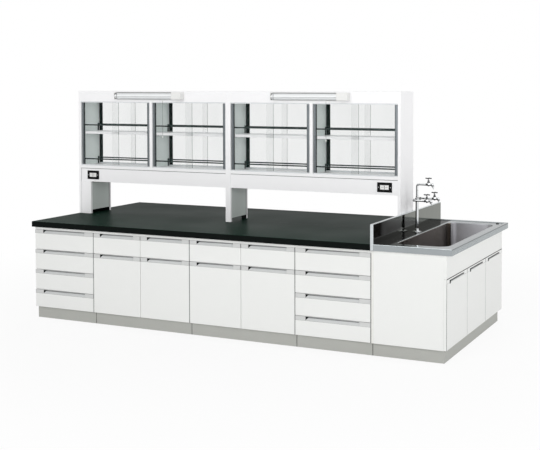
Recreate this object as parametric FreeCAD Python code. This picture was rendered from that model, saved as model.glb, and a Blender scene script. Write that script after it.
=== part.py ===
"""Laboratory island bench: a double-sided run of drawer and cupboard units under a black
worktop, a stainless sink end with a three-way faucet, and a glazed two-level reagent rack.

Millimetres. X runs along the bench towards the sink end, Y across it, Z up from the floor.
The origin is on the floor under the middle of the whole bench.
"""

import FreeCAD
import Part
import math
import os

V = FreeCAD.Vector

# Bench: main sizes
drawer_unit_width = 600.0
cupboard_unit_width = 900.0
sink_end_length = 600.0
bench_depth = 1500.0
worktop_height = 800.0
worktop_thickness = 45.0
rack_top_height = 1866.0

# Bench: setbacks from the edges of the tops
left_overhang = 14.5
long_overhang = 24.0
sink_overhang = 45.0
plinth_height = 95.0
plinth_setback = 32.0
plinth_end_setback = 25.0

# Boards and shared clearances
board = 18.0
back_board = 9.0
front_thickness = 20.0
front_gap = 3.0
seat_gap = 0.3
overrun = 5.0
quarter_turn_angle = 90.0
half_turn_angle = 180.0
full_turn_angle = 360.0

# Cabinet fronts
strip_height = 20.0
stretcher_depth = 80.0
tier_share = 0.258
drawers_high = 4
service_void_width = 200.0
shelf_setback = 40.0
shelf_height_share = 0.5
shelf_end_gap = 1.0
peg_radius = 3.0
peg_length = 10.0
peg_inset = 60.0

# Line pull along the top edge of every front
pull_height = 36.0
pull_lip = 8.0
recess_depth = 15.0
recess_height = 17.0
recess_start_share = 0.14
recess_end_share = 0.855

# Drawer box and its runners
box_board = 12.0
box_bottom = 6.0
drawer_box_depth = 500.0
box_rise = 22.0
box_drop = 44.0
runner_space = 12.5
runner_wall = 1.5
runner_flange = 11.0
runner_height = 36.0
runner_rise = 8.0
runner_setback = 24.0
runner_length = 480.0
slide_rail_length = 440.0

# Concealed door hinges
hinge_inset = 90.0
hinge_plate_length = 46.0
hinge_plate_height = 32.0
hinge_plate_thickness = 8.0
hinge_arm_width = 12.0
hinge_arm_height = 14.0
hinge_boss_length = 40.0
hinge_boss_height = 50.0
hinge_boss_thickness = 2.5
hinge_arm_reach = 30.0

# Sink end
end_door_count = 3
fascia_height = 165.0
rim_width = 24.0
rim_height = 5.0
rim_slope = 6.0
worktop_edge_radius = 2.5
guard_thickness = 25.0
guard_rise = 140.0
basin_guard_margin = 115.0
basin_outer_margin = 78.0
basin_side_margin = 130.0
basin_depth = 250.0
basin_corner_radius = 70.0
basin_floor_radius = 25.0
basin_wall = 2.0
basin_lip = 8.0
sheet = 2.0
core_gap = 4.0
core_slot = 60.0

# Waste fittings under the basin
strainer_radius = 55.0
strainer_depth = 50.0
strainer_wall = 3.0
tail_radius = 20.0
trap_radius = 45.0
trap_height = 110.0
trap_outlet_share = 0.25
strainer_ring_shares = ((0.3, 6), (0.62, 12))
tail_length = 60.0
waste_radius = 25.0
waste_spigot = 60.0
waste_end_height = 40.0
waste_gap = 90.0

# Reagent rack
rack_depth = 280.0
rack_panel = 24.0
rack_post = 27.0
rack_clear_height = 280.0
apron_height = 116.0
apron_setback = 4.0
apron_board = 18.0
fascia_drop = 90.0
rack_lid = 18.0
fascia_board = 18.0
leg_front_width = 101.0
leg_panel = 20.0
leg_plate = 16.0
leg_notch = 32.0
rack_shelf_share = 0.493
rack_shelf_thickness = 22.0

# Sliding glass
track_height = 9.0
track_wall = 1.5
track_lane = 10.7
track_depth = track_wall + 2 * (track_lane + track_wall)
glass_thickness = 5.0
pane_overlap = 28.0
stile_width = 20.0
stile_depth = 9.0

# Guard rails
rail_radius = 5.5
rail_rise = 55.0
rail_from_face = 42.0
bracket_width = 16.0
bracket_thickness = 3.0
bracket_above = 9.0

# Lamps with pull cords
lamp_length = 664.0
lamp_position_shares = (0.25, 0.75)
lamp_below_top = 70.0
lamp_height = 62.0
lamp_tray_depth = 24.0
lamp_diffuser_depth = 34.0
lamp_cap = 6.0
lamp_block_length = 90.0
cord_offset = 150.0
cord_from_fascia = 44.0
cord_radius = 1.0
cord_drop = 300.0
cord_engaged = 13.0
spout_radius = 4.5
spout_bore = 1.6
spout_length = 14.0
knob_radius = 5.0
knob_length = 18.0

# Power outlets
outlet_width = 120.0
outlet_height = 75.0
outlet_plate = 6.0
outlet_from_left = 150.0
outlet_from_right = 131.0
outlet_insert_width = 70.0
outlet_insert_height = 34.0
outlet_insert_proud = 1.5

# Three-way faucet
faucet_from_guard = 57.0
flange_radius = 36.0
flange_height = 9.0
flange_edge = 3.0
column_radius = 9.0
collar_radius = 14.0
collar_height = 22.0
manifold_height = 248.0
manifold_reach = 90.0
manifold_radius = 9.0
arm_radius = 7.0
arm_reach = 110.0
riser_height = 364.0
riser_reach = 92.0
riser_radius = 6.5
riser_bend = 16.0
riser_bend_middle_angle = 45.0
globe_radius = 13.0
bonnet_height = 25.0
bonnet_radius = 10.0
packing_radius = 7.0
packing_height = 10.0
stem_radius = 2.8
stem_length = 8.0
hub_radius = 6.0
hub_height = 9.0
handle_reach = 24.0
handle_bar_radius = 3.4
handle_end_radius = 4.25
outlet_reach = 30.0
nut_radius = 10.5
nut_length = 12.0
nozzle_length = 18.0
nozzle_root_radius = 6.5
nozzle_tip_radius = 4.0
nozzle_bore = 2.6
nozzle_ridge_depth = 1.3
nozzle_ridges = 3
nozzle_tilt_angle = 18.0
shank_radius = 10.0
shank_length = 70.0
shank_clearance = 1.0
lock_nut_radius = 18.0
lock_nut_height = 10.0

# Places worked out from the sizes above
worktop_length = 2 * drawer_unit_width + 2 * cupboard_unit_width
bench_length = worktop_length + sink_end_length
left_x = -bench_length / 2
right_x = bench_length / 2
worktop_right_x = left_x + worktop_length
half_depth = bench_depth / 2
carcass_top = worktop_height - worktop_thickness
carcass_left_x = left_x + left_overhang
carcass_right_x = right_x - sink_overhang
face_y = half_depth - long_overhang
row_inner = face_y - service_void_width / 2
tiers_top = carcass_top - strip_height
tier_height = tier_share * (tiers_top - plinth_height)
guard_right_x = worktop_right_x + guard_thickness
deck_level = worktop_height - rim_height
basin_x0 = guard_right_x + basin_guard_margin
basin_x1 = right_x - basin_outer_margin
basin_y1 = half_depth - basin_side_margin
unit_edges = [carcass_left_x]
for width in (drawer_unit_width, cupboard_unit_width, cupboard_unit_width, drawer_unit_width):
    unit_edges.append((unit_edges[-1] if len(unit_edges) > 1 else left_x) + width)
unit_kinds = ("drawers", "cupboard", "cupboard", "drawers")
rack_mid_x = left_x + worktop_length / 2
rack_half = rack_depth / 2
apron_bottom = worktop_height + rack_clear_height
apron_top = apron_bottom + apron_height
rack_board_top = apron_top + rack_panel
glazing_top = rack_top_height - fascia_drop
rack_shelf_height = rack_board_top + rack_shelf_share * (glazing_top - rack_board_top)
lamp_bottom = rack_top_height - lamp_below_top
carcass_front = front_thickness + seat_gap


def block(x0, x1, y0, y1, z0, z1):
    """A straight board between two opposite corners, in any order."""
    low = V(min(x0, x1), min(y0, y1), min(z0, z1))
    return Part.makeBox(abs(x1 - x0), abs(y1 - y0), abs(z1 - z0), low)


def prism(points, direction):
    """A flat outline pushed along a vector."""
    return Part.Face(Part.makePolygon(points + [points[0]])).extrude(direction)


def rod(start, end, radius):
    """A round bar between two points."""
    along = end - start
    return Part.makeCylinder(radius, along.Length, start, along)


def turned(profile, centre, direction):
    """A closed outline of (radius, height) pairs turned about an axis."""
    points = [V(r, 0, h) for r, h in profile]
    face = Part.Face(Part.makePolygon(points + [points[0]]))
    solid = face.revolve(V(0, 0, 0), V(0, 0, 1), full_turn_angle)
    solid.Placement = FreeCAD.Placement(centre, FreeCAD.Rotation(V(0, 0, 1), direction))
    return solid


class Side:
    """One face of the bench. Its pieces are drawn with u to the right along the face,
    d inwards from the face and z up, then turned into place."""

    def __init__(self, name, angle, origin):
        self.name = name
        self.angle = angle
        self.origin = origin

    def place(self, solids):
        """Turn and move pieces from the face's own directions onto the bench."""
        placed = []
        for solid in solids:
            moved = solid.copy()
            moved.rotate(V(0, 0, 0), V(0, 0, 1), self.angle)
            moved.translate(self.origin)
            placed.append(moved)
        return placed

    def spans(self):
        """The units of this long side as (start, end, kind), from left to right."""
        spans = []
        for i, kind in enumerate(unit_kinds):
            a, b = unit_edges[i], unit_edges[i + 1]
            if self.name == "rear":
                spans.append((worktop_right_x - b, worktop_right_x - a, kind))
            else:
                spans.append((a - carcass_left_x, b - carcass_left_x, kind))
        return sorted(spans)


front_side = Side("front", 0, V(carcass_left_x, -face_y, 0))
rear_side = Side("rear", half_turn_angle, V(worktop_right_x, face_y, 0))
end_side = Side("end", quarter_turn_angle, V(carcass_right_x, -face_y, 0))


def front_panel(u0, u1, z0, z1):
    """A front with its line pull: panel, finger lip, slanted scoop and two solid ends."""
    pull_base = z1 - pull_height
    lip_under = z1 - pull_lip
    recess_low = lip_under - recess_height
    width = u1 - u0
    scoop = [
        V(u0, 0, pull_base),
        V(u0, front_thickness, pull_base),
        V(u0, front_thickness, lip_under),
        V(u0, recess_depth, lip_under),
        V(u0, 0, recess_low),
    ]
    pieces = [
        block(u0, u1, 0, front_thickness, z0, pull_base),
        prism(scoop, V(width, 0, 0)),
        block(u0, u1, 0, front_thickness, lip_under, z1),
    ]
    ends = ((0, recess_start_share), (recess_end_share, 1))
    for start_share, end_share in ends:
        start = u0 + start_share * width
        length = (end_share - start_share) * width
        wedge = [V(start, 0, recess_low), V(start, recess_depth, lip_under), V(start, 0, lip_under)]
        pieces.append(prism(wedge, V(length, 0, 0)))
    return pieces


def channel(u, inward, z0, d0, length):
    """A fixed runner: a steel channel open towards the drawer."""
    profile_shares = ((0, 0), (1, 0), (1, 1), (0, 1))
    outer = [V(u + inward * runner_flange * a, d0, z0 + runner_height * b) for a, b in profile_shares]
    hollow_height = runner_height - 2 * runner_wall
    hollow = [
        V(u + inward * (runner_wall + overrun * a + (runner_flange - runner_wall) * a), d0,
          z0 + runner_wall + hollow_height * b)
        for a, b in profile_shares
    ]
    return prism(outer, V(0, length, 0)).cut(prism(hollow, V(0, length, 0)))


def drawer_box_levels(z0, z1):
    """Underside and top of a drawer's box behind a front that runs from z0 to z1."""
    return z0 + box_rise, z1 - box_drop


def drawer(u0, u1, z0, z1, clear0, clear1):
    """A drawer: front, four boards and bottom of its box, and a slide rail on each side."""
    low, high = drawer_box_levels(z0, z1)
    left = clear0 + runner_space
    right = clear1 - runner_space
    back = front_thickness + drawer_box_depth
    pieces = front_panel(u0, u1, z0, z1)
    pieces.append(block(left, left + box_board, front_thickness, back, low, high))
    pieces.append(block(right - box_board, right, front_thickness, back, low, high))
    pieces.append(block(left + box_board, right - box_board, back - box_board, back, low, high))
    pieces.append(block(left + box_board, right - box_board, front_thickness, back - box_board,
                        low, low + box_bottom))
    rail_low = low + runner_rise + runner_wall + seat_gap
    rail_high = low + runner_rise + runner_height - runner_wall - seat_gap
    for outer, edge in ((clear0, left), (clear1, right)):
        inward = 1 if outer == clear0 else -1
        pieces.append(block(outer + inward * (runner_wall + seat_gap), edge,
                            runner_setback, runner_setback + slide_rail_length, rail_low, rail_high))
    return pieces


def drawer_runners(z0, z1, clear0, clear1):
    """The two fixed channels of one drawer."""
    low = drawer_box_levels(z0, z1)[0] + runner_rise
    return [
        channel(clear0, 1, low, runner_setback, runner_length),
        channel(clear1, -1, low, runner_setback, runner_length),
    ]


def hinge_levels(z0, z1):
    """Heights of a door's two hinges."""
    return (z0 + hinge_inset, z1 - hinge_inset)


def door(u0, u1, z0, z1, clear, inward):
    """A door with its line pull and the bosses of its two concealed hinges."""
    pieces = front_panel(u0, u1, z0, z1)
    for level in hinge_levels(z0, z1):
        start = clear + inward * seat_gap
        pieces.append(block(start, start + inward * hinge_boss_length, front_thickness,
                            front_thickness + hinge_boss_thickness,
                            level - hinge_boss_height / 2, level + hinge_boss_height / 2))
    return pieces


def hinge_arms(z0, z1, clear, inward):
    """The fixed plates and arms of a door's hinges, on the board beside it."""
    pieces = []
    arm_start = front_thickness + hinge_boss_thickness + seat_gap
    for level in hinge_levels(z0, z1):
        plate_start = arm_start + hinge_arm_reach
        pieces.append(block(clear, clear + inward * hinge_plate_thickness, plate_start,
                            plate_start + hinge_plate_length,
                            level - hinge_plate_height / 2, level + hinge_plate_height / 2))
        arm_side = clear + inward * hinge_plate_thickness
        pieces.append(block(arm_side, arm_side + inward * hinge_arm_width, arm_start,
                            plate_start + hinge_plate_length,
                            level - hinge_arm_height / 2, level + hinge_arm_height / 2))
    return pieces


def tier_edges():
    """Lower and upper level of every drawer tier, from the top down."""
    edges = []
    top = tiers_top
    for i in range(drawers_high):
        low = plinth_height if i == drawers_high - 1 else top - tier_height
        edges.append((low, top))
        top = low
    return edges


def row_fronts(side):
    """Every drawer and door of one long side as (node, kind, u0, u1, z0, z1, clear0, clear1)."""
    fronts = []
    half_gap = front_gap / 2
    for i, (a, b, kind) in enumerate(side.spans()):
        unit = f"{side.name}_unit{i + 1}"
        if kind == "drawers":
            for j, (low, high) in enumerate(tier_edges()):
                fronts.append((f"{unit}_drawer{j + 1}", "drawer", a + half_gap, b - half_gap,
                               low + half_gap, high - half_gap, a + board, b - board))
            continue
        middle = (a + b) / 2
        halves = (("left", a, middle, a + board, middle - board / 2),
                  ("right", middle, b, middle + board / 2, b - board))
        for name, start, end, clear0, clear1 in halves:
            divide = tiers_top - tier_height
            fronts.append((f"{unit}_{name}_drawer", "drawer", start + half_gap, end - half_gap,
                           divide + half_gap, tiers_top - half_gap, clear0, clear1))
            fronts.append((f"{unit}_{name}_door", f"{name}_door", start + half_gap, end - half_gap,
                           plinth_height + half_gap, divide - half_gap, clear0, clear1))
    return fronts


def row_cabinets(side):
    """The boards, shelves, runners and hinge arms of the cabinets on one long side."""
    pieces = []
    depth = row_inner
    for a, b, kind in side.spans():
        inner0 = a + board
        inner1 = b - board
        for start in (a, inner1):
            pieces.append(block(start, start + board, carcass_front, depth, plinth_height, carcass_top))
        back = depth - back_board
        bottom_top = plinth_height + board
        pieces.append(block(inner0, inner1, carcass_front, depth, plinth_height, bottom_top))
        pieces.append(block(inner0, inner1, back, depth, bottom_top, carcass_top))
        pieces.append(block(a, b, 0, carcass_front, tiers_top, carcass_top))
        pieces.append(block(inner0, inner1, carcass_front, stretcher_depth, tiers_top, carcass_top))
        if kind == "cupboard":
            middle = (a + b) / 2
            divide = tiers_top - tier_height
            dust_low = divide - board / 2
            dust_high = divide + board / 2
            pieces.append(block(inner0, inner1, carcass_front, back, dust_low, dust_high))
            pieces.append(block(middle - board / 2, middle + board / 2, carcass_front, back,
                                dust_high, tiers_top))
            shelf = bottom_top + shelf_height_share * (divide - bottom_top)
            pieces += shelf_on_pegs(inner0, inner1, carcass_front + shelf_setback, back - seat_gap, shelf)
    for _, kind, _, _, z0, z1, clear0, clear1 in row_fronts(side):
        if kind == "drawer":
            pieces += drawer_runners(z0, z1, clear0, clear1)
        elif kind == "left_door":
            pieces += hinge_arms(z0, z1, clear0, 1)
        else:
            pieces += hinge_arms(z0, z1, clear1, -1)
    return side.place(pieces)


def shelf_on_pegs(inner0, inner1, d0, d1, level):
    """A loose shelf on four pegs that stand out of the boards at its ends."""
    pieces = [block(inner0 + shelf_end_gap, inner1 - shelf_end_gap, d0, d1, level, level + board)]
    for d in (d0 + peg_inset, d1 - peg_inset):
        for u, inward in ((inner0, 1), (inner1, -1)):
            start = V(u, d, level - peg_radius)
            pieces.append(rod(start, start + V(inward * peg_length, 0, 0), peg_radius))
    return pieces


def end_fronts():
    """The doors of the sink end as (node, kind, u0, u1, z0, z1, clear0, clear1)."""
    fronts = []
    width = 2 * face_y / end_door_count
    half_gap = front_gap / 2
    door_top = carcass_top - fascia_height
    kinds = ("left_door", "right_door", "right_door")
    for i in range(end_door_count):
        a = i * width
        b = a + width
        clear0 = a + (front_thickness if i == 0 else board / 2)
        clear1 = b - (front_thickness if i == end_door_count - 1 else board / 2)
        fronts.append((f"end_door{i + 1}", kinds[i], a + half_gap, b - half_gap,
                       plinth_height + half_gap, door_top - half_gap, clear0, clear1))
    return fronts


def sink_cabinet():
    """Panels, posts, fascia and floor of the sink end."""
    x0 = worktop_right_x
    door_back_x = carcass_right_x - carcass_front
    floor_x = x0 + board + waste_gap
    inner_y = face_y - front_thickness
    door_top = carcass_top - fascia_height
    bottom_top = plinth_height + board
    pieces = [
        block(x0, x0 + board, -face_y, face_y, plinth_height, carcass_top),
        block(floor_x, door_back_x, -inner_y, inner_y, plinth_height, bottom_top),
        block(door_back_x, carcass_right_x, -face_y, face_y, door_top, carcass_top),
        block(door_back_x - back_board, door_back_x, -inner_y, inner_y, door_top, carcass_top),
    ]
    for s in (-1, 1):
        pieces.append(block(x0 + board, door_back_x, s * face_y, s * inner_y, plinth_height, carcass_top))
    width = 2 * face_y / end_door_count
    post_top = deck_level - basin_depth - basin_wall - core_gap
    for i in range(1, end_door_count):
        y0 = -face_y + i * width - board / 2
        y1 = y0 + board
        pieces.append(block(door_back_x - stretcher_depth, door_back_x, y0, y1, bottom_top, post_top))
        pieces.append(block(door_back_x - back_board, door_back_x, y0, y1, post_top, door_top))
    arms = []
    for _, kind, _, _, z0, z1, clear0, clear1 in end_fronts():
        if kind == "left_door":
            arms += hinge_arms(z0, z1, clear0, 1)
        else:
            arms += hinge_arms(z0, z1, clear1, -1)
    return pieces + end_side.place(arms)


def base_cabinets():
    """The cabinets of both long sides and the sink end, with the board that closes the left end."""
    void_half = service_void_width / 2
    pieces = row_cabinets(front_side) + row_cabinets(rear_side) + sink_cabinet()
    pieces.append(block(carcass_left_x, carcass_left_x + board, -void_half, void_half,
                        plinth_height, carcass_top))
    return pieces + deck_core()


def plinth():
    """Kickboards under every unit, with a bearer at each joint between units."""
    pieces = []
    outer = face_y - plinth_setback
    edges = unit_edges + [carcass_right_x - plinth_end_setback]
    for a, b in zip(edges[:-1], edges[1:]):
        for s in (-1, 1):
            pieces.append(block(a, b, s * outer, s * (outer - board), 0, plinth_height))
        inner = outer - board
        pieces.append(block(a, a + board, -inner, inner, 0, plinth_height))
        pieces.append(block(b - board, b, -inner, inner, 0, plinth_height))
    return pieces


def worktop():
    """Two slabs that meet along the middle, their long outer edges rounded over."""
    slabs = []
    for s in (-1, 1):
        slab = block(left_x, worktop_right_x, 0, s * half_depth, carcass_top, worktop_height)
        edges = [e for e in slab.Edges if all(abs(v.Y - s * half_depth) < seat_gap for v in e.Vertexes)
                 and abs(e.Vertexes[0].Z - e.Vertexes[1].Z) < seat_gap]
        slabs.append(slab.makeFillet(worktop_edge_radius, edges))
    return slabs


def rounded_box(x0, x1, y0, y1, z0, z1, radius):
    """A box with round upright corners."""
    solid = block(x0, x1, y0, y1, z0, z1)
    upright = [e for e in solid.Edges if abs(e.Vertexes[0].Z - e.Vertexes[1].Z) > seat_gap]
    return solid.makeFillet(radius, upright)


def floor_edges(solid, level):
    """The edges of a solid that lie at one level."""
    return [e for e in solid.Edges if all(abs(v.Z - level) < seat_gap for v in e.Vertexes)]


def basin_form(grow, top):
    """The basin's form, larger all round by grow, up to the level top."""
    floor = deck_level - basin_depth - grow
    form = rounded_box(basin_x0 - grow, basin_x1 + grow, -basin_y1 - grow, basin_y1 + grow,
                       floor, top, basin_corner_radius + grow)
    return form.makeFillet(basin_floor_radius + grow, floor_edges(form, floor))


def sink_top():
    """Pressed deck with its raised edge, basin, back guard and waste fittings."""
    outer = block(guard_right_x, right_x, -half_depth, half_depth, carcass_top, worktop_height)
    rim_inner_x = right_x - rim_width
    rim_inner_y = half_depth - rim_width
    rings = []
    for inset, level in ((rim_slope, deck_level), (-rim_slope, worktop_height + rim_height)):
        corners = [
            V(guard_right_x - overrun, -rim_inner_y + inset, level),
            V(rim_inner_x - inset, -rim_inner_y + inset, level),
            V(rim_inner_x - inset, rim_inner_y - inset, level),
            V(guard_right_x - overrun, rim_inner_y - inset, level),
        ]
        rings.append(Part.makePolygon(corners + corners[:1]))
    pan = Part.makeLoft(rings, True, True)
    opening = rounded_box(basin_x0 - basin_wall, basin_x1 + basin_wall,
                          -basin_y1 - basin_wall, basin_y1 + basin_wall,
                          carcass_top - overrun, worktop_height + overrun, basin_corner_radius + basin_wall)
    faucet_x = guard_right_x + faucet_from_guard
    shank_hole = rod(V(faucet_x, 0, carcass_top - overrun), V(faucet_x, 0, worktop_height),
                     shank_radius + shank_clearance)
    hollow = block(guard_right_x - overrun, right_x - sheet, -half_depth + sheet, half_depth - sheet,
                   carcass_top - overrun, deck_level - sheet)
    deck = outer.cut(pan).cut(opening).cut(shank_hole).cut(hollow)
    shell = basin_form(basin_wall, deck_level).cut(basin_form(0, deck_level + overrun))
    drain_x = (basin_x0 + basin_x1) / 2
    floor = deck_level - basin_depth
    cut = rod(V(drain_x, 0, floor - basin_wall - overrun), V(drain_x, 0, floor + overrun), strainer_radius)
    basin = shell.cut(cut)
    guard = block(worktop_right_x, guard_right_x, -half_depth, half_depth,
                  carcass_top, worktop_height + guard_rise)
    return [deck, basin, guard] + waste_fittings(drain_x, floor)


def waste_fittings(x, floor):
    """Strainer cup, tail, bottle trap and the pipe that leads down to the floor drain."""
    under = floor - basin_wall
    flange = strainer_radius + basin_lip
    cup_low = under - strainer_depth
    cup = turned([
        (tail_radius - strainer_wall, cup_low - strainer_wall),
        (strainer_radius, cup_low - strainer_wall),
        (strainer_radius, under - strainer_wall),
        (flange, under - strainer_wall),
        (flange, under),
        (strainer_radius - strainer_wall, under),
        (strainer_radius - strainer_wall, cup_low),
        (tail_radius - strainer_wall, cup_low),
    ], V(x, 0, 0), V(0, 0, 1))
    tail_low = cup_low - strainer_wall - tail_length
    tail = rod(V(x, 0, cup_low - strainer_wall), V(x, 0, tail_low), tail_radius)
    trap_low = tail_low - trap_height
    trap = rod(V(x, 0, tail_low), V(x, 0, trap_low), trap_radius)
    pipe_x = worktop_right_x + board + waste_gap / 2
    level = tail_low - trap_height * trap_outlet_share
    drop_top = level + waste_radius
    spigot_top = waste_end_height + waste_spigot
    drop = turned([(0, waste_end_height), (waste_radius, waste_end_height), (waste_radius, spigot_top),
                   (tail_radius, spigot_top), (tail_radius, drop_top), (0, drop_top)],
                  V(pipe_x, 0, 0), V(0, 0, 1))
    run = rod(V(x, 0, level), V(pipe_x, 0, level), tail_radius - strainer_wall).cut(trap).cut(drop)
    plate_edge = strainer_radius - strainer_wall - seat_gap
    plate_low = under - strainer_wall
    strainer = turned([(tail_radius, cup_low), (tail_radius + strainer_wall, cup_low),
                       (tail_radius + strainer_wall, plate_low), (plate_edge, plate_low),
                       (plate_edge, under), (0, under), (0, plate_low), (tail_radius, plate_low)],
                      V(x, 0, 0), V(0, 0, 1))
    holes = []
    for share, count in strainer_ring_shares:
        for i in range(count):
            turn = 2 * math.pi * i / count
            ring = share * strainer_radius
            centre = V(x + ring * math.cos(turn), ring * math.sin(turn), cup_low - overrun)
            holes.append(rod(centre, centre + V(0, 0, strainer_depth + 2 * overrun), strainer_wall))
    return [cup, tail, trap, run, drop, strainer.cut(Part.makeCompound(holes))]


def deck_core():
    """Boards inside the pressed deck that carry it round the basin, with a slot at the faucet."""
    low = carcass_top
    high = deck_level - sheet
    x0 = guard_right_x
    x1 = right_x - sheet
    y1 = half_depth - sheet
    hole_x0 = basin_x0 - basin_wall - core_gap
    hole_x1 = basin_x1 + basin_wall + core_gap
    hole_y = basin_y1 + basin_wall + core_gap
    pieces = [block(hole_x1, x1, -hole_y, hole_y, low, high)]
    for s in (-1, 1):
        pieces.append(block(x0, x1, s * hole_y, s * y1, low, high))
        pieces.append(block(x0, hole_x0, s * core_slot / 2, s * hole_y, low, high))
    return pieces


def rack_bays():
    """Start and end of the rack's four bays along X."""
    ends = (left_x + rack_panel, rack_mid_x - rack_panel, rack_mid_x + rack_panel,
            worktop_right_x - rack_panel)
    bays = []
    for start, end in (ends[:2], ends[2:]):
        middle = (start + end) / 2
        bays.append((start, middle - rack_post / 2))
        bays.append((middle + rack_post / 2, end))
    return bays


def hollow_leg(x0, x1, plate_x0, plate_x1):
    """Front and rear leg panels with a side plate between them, open at its foot."""
    pieces = []
    inner = rack_half - leg_panel
    for s in (-1, 1):
        pieces.append(block(x0, x1, s * rack_half, s * inner, worktop_height, apron_bottom))
    pieces.append(block(plate_x0, plate_x1, -inner, inner, worktop_height + leg_notch, apron_bottom))
    return pieces


def rack_frame():
    """Side panels, legs, aprons, boards, posts, fascias and shelves of the rack."""
    pieces = []
    left_inner = left_x + rack_panel
    right_inner = worktop_right_x - rack_panel
    for x in (left_x, right_inner):
        pieces.append(block(x, x + rack_panel, -rack_half, rack_half, worktop_height, rack_top_height))
    for x in (rack_mid_x - rack_panel, rack_mid_x):
        pieces.append(block(x, x + rack_panel, -rack_half, rack_half, apron_bottom, rack_top_height))
    leg_end = left_inner + leg_front_width
    pieces += hollow_leg(left_inner, leg_end, leg_end - leg_plate, leg_end)
    pieces += hollow_leg(rack_mid_x - rack_panel, rack_mid_x + rack_panel,
                         rack_mid_x + rack_panel - leg_plate, rack_mid_x + rack_panel)
    leg_inner = rack_half - leg_panel
    pieces.append(block(rack_mid_x - rack_panel, rack_mid_x - rack_panel + leg_plate,
                        -leg_inner, leg_inner, worktop_height + leg_notch, apron_bottom))
    apron_face = rack_half - apron_setback
    apron_back = apron_face - apron_board
    for a, b in ((left_inner, rack_mid_x - rack_panel), (rack_mid_x + rack_panel, right_inner)):
        middle = (a + b) / 2
        for s in (-1, 1):
            pieces.append(block(a, b, s * apron_face, s * apron_back, apron_bottom, apron_top))
            pieces.append(block(a, b, s * rack_half, s * (rack_half - fascia_board), glazing_top,
                                rack_top_height - rack_lid))
        pieces.append(block(a, b, -apron_back, apron_back, apron_bottom, apron_bottom + rack_lid))
        pieces.append(block(a, b, -rack_half, rack_half, apron_top, rack_board_top))
        top_inner = rack_half - fascia_board
        pieces.append(block(a, b, -top_inner, top_inner, glazing_top, glazing_top + rack_lid))
        pieces.append(block(a, b, -rack_half, rack_half, rack_top_height - rack_lid, rack_top_height))
        pieces.append(block(middle - rack_post / 2, middle + rack_post / 2, -rack_half, rack_half,
                            rack_board_top, glazing_top))
    shelf_half = rack_half - track_depth - seat_gap
    for a, b in rack_bays():
        pieces.append(block(a + seat_gap, b - seat_gap, -shelf_half, shelf_half,
                            rack_shelf_height, rack_shelf_height + rack_shelf_thickness))
        for x, inward in ((a, 1), (b, -1)):
            for s in (-1, 1):
                start = V(x, s * (shelf_half - peg_inset), rack_shelf_height - peg_radius)
                pieces.append(rod(start, start + V(inward * peg_length, 0, 0), peg_radius))
    return pieces


def track(a, b, s, z0, up):
    """A two-lane glass track along one bay: a base strip and three ribs."""
    outer = rack_half
    base = z0
    tip = z0 + up * track_height
    floor = z0 + up * track_wall
    lanes = (outer - track_wall, outer - track_wall - track_lane,
             outer - 2 * track_wall - track_lane, outer - 2 * track_wall - 2 * track_lane)
    profile = [(outer, base), (outer, tip), (lanes[0], tip), (lanes[0], floor), (lanes[1], floor),
               (lanes[1], tip), (lanes[2], tip), (lanes[2], floor), (lanes[3], floor), (lanes[3], tip),
               (lanes[3] - track_wall, tip), (lanes[3] - track_wall, base)]
    return prism([V(a, s * y, z) for y, z in profile], V(b - a, 0, 0))


def glass_tracks():
    """The tracks above and below the glass of every bay, front and rear."""
    pieces = []
    for a, b in rack_bays():
        for s in (-1, 1):
            pieces.append(track(a, b, s, rack_board_top, 1))
            pieces.append(track(a, b, s, glazing_top, -1))
    return pieces


def glass_pane(a, b, s, lane, at_left):
    """One sliding pane with the aluminium stile on its outer edge."""
    width = (b - a) / 2 + pane_overlap
    centre = rack_half - track_wall - track_lane / 2 - lane * (track_wall + track_lane)
    z0 = rack_board_top + track_wall + seat_gap
    z1 = glazing_top - track_wall - seat_gap
    y0, y1 = s * (centre - glass_thickness / 2), s * (centre + glass_thickness / 2)
    e0, e1 = s * (centre - stile_depth / 2), s * (centre + stile_depth / 2)
    if at_left:
        edge = a + seat_gap
        return [block(edge + stile_width, edge + width, y0, y1, z0, z1),
                block(edge, edge + stile_width, e0, e1, z0, z1)]
    edge = b - seat_gap
    return [block(edge - width, edge - stile_width, y0, y1, z0, z1),
            block(edge - stile_width, edge, e0, e1, z0, z1)]


def guard_rails():
    """Round bars on small end brackets, at the front and rear of both levels."""
    pieces = []
    y = rack_half - rail_from_face
    levels = (rack_board_top, rack_shelf_height + rack_shelf_thickness)
    for a, b in rack_bays():
        for level in levels:
            for s in (-1, 1):
                z = level + rail_rise
                low = V(a + bracket_thickness, s * y, z)
                high = V(b - bracket_thickness, s * y, z)
                pieces.append(rod(low, high, rail_radius))
                for x, inward in ((a, 1), (b, -1)):
                    pieces.append(block(x, x + inward * bracket_thickness,
                                        s * y - bracket_width / 2, s * y + bracket_width / 2,
                                        level, z + bracket_above))
    return pieces


def lamp_centres():
    """The middle of each lamp along X."""
    return [left_x + share * worktop_length for share in lamp_position_shares]


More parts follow.
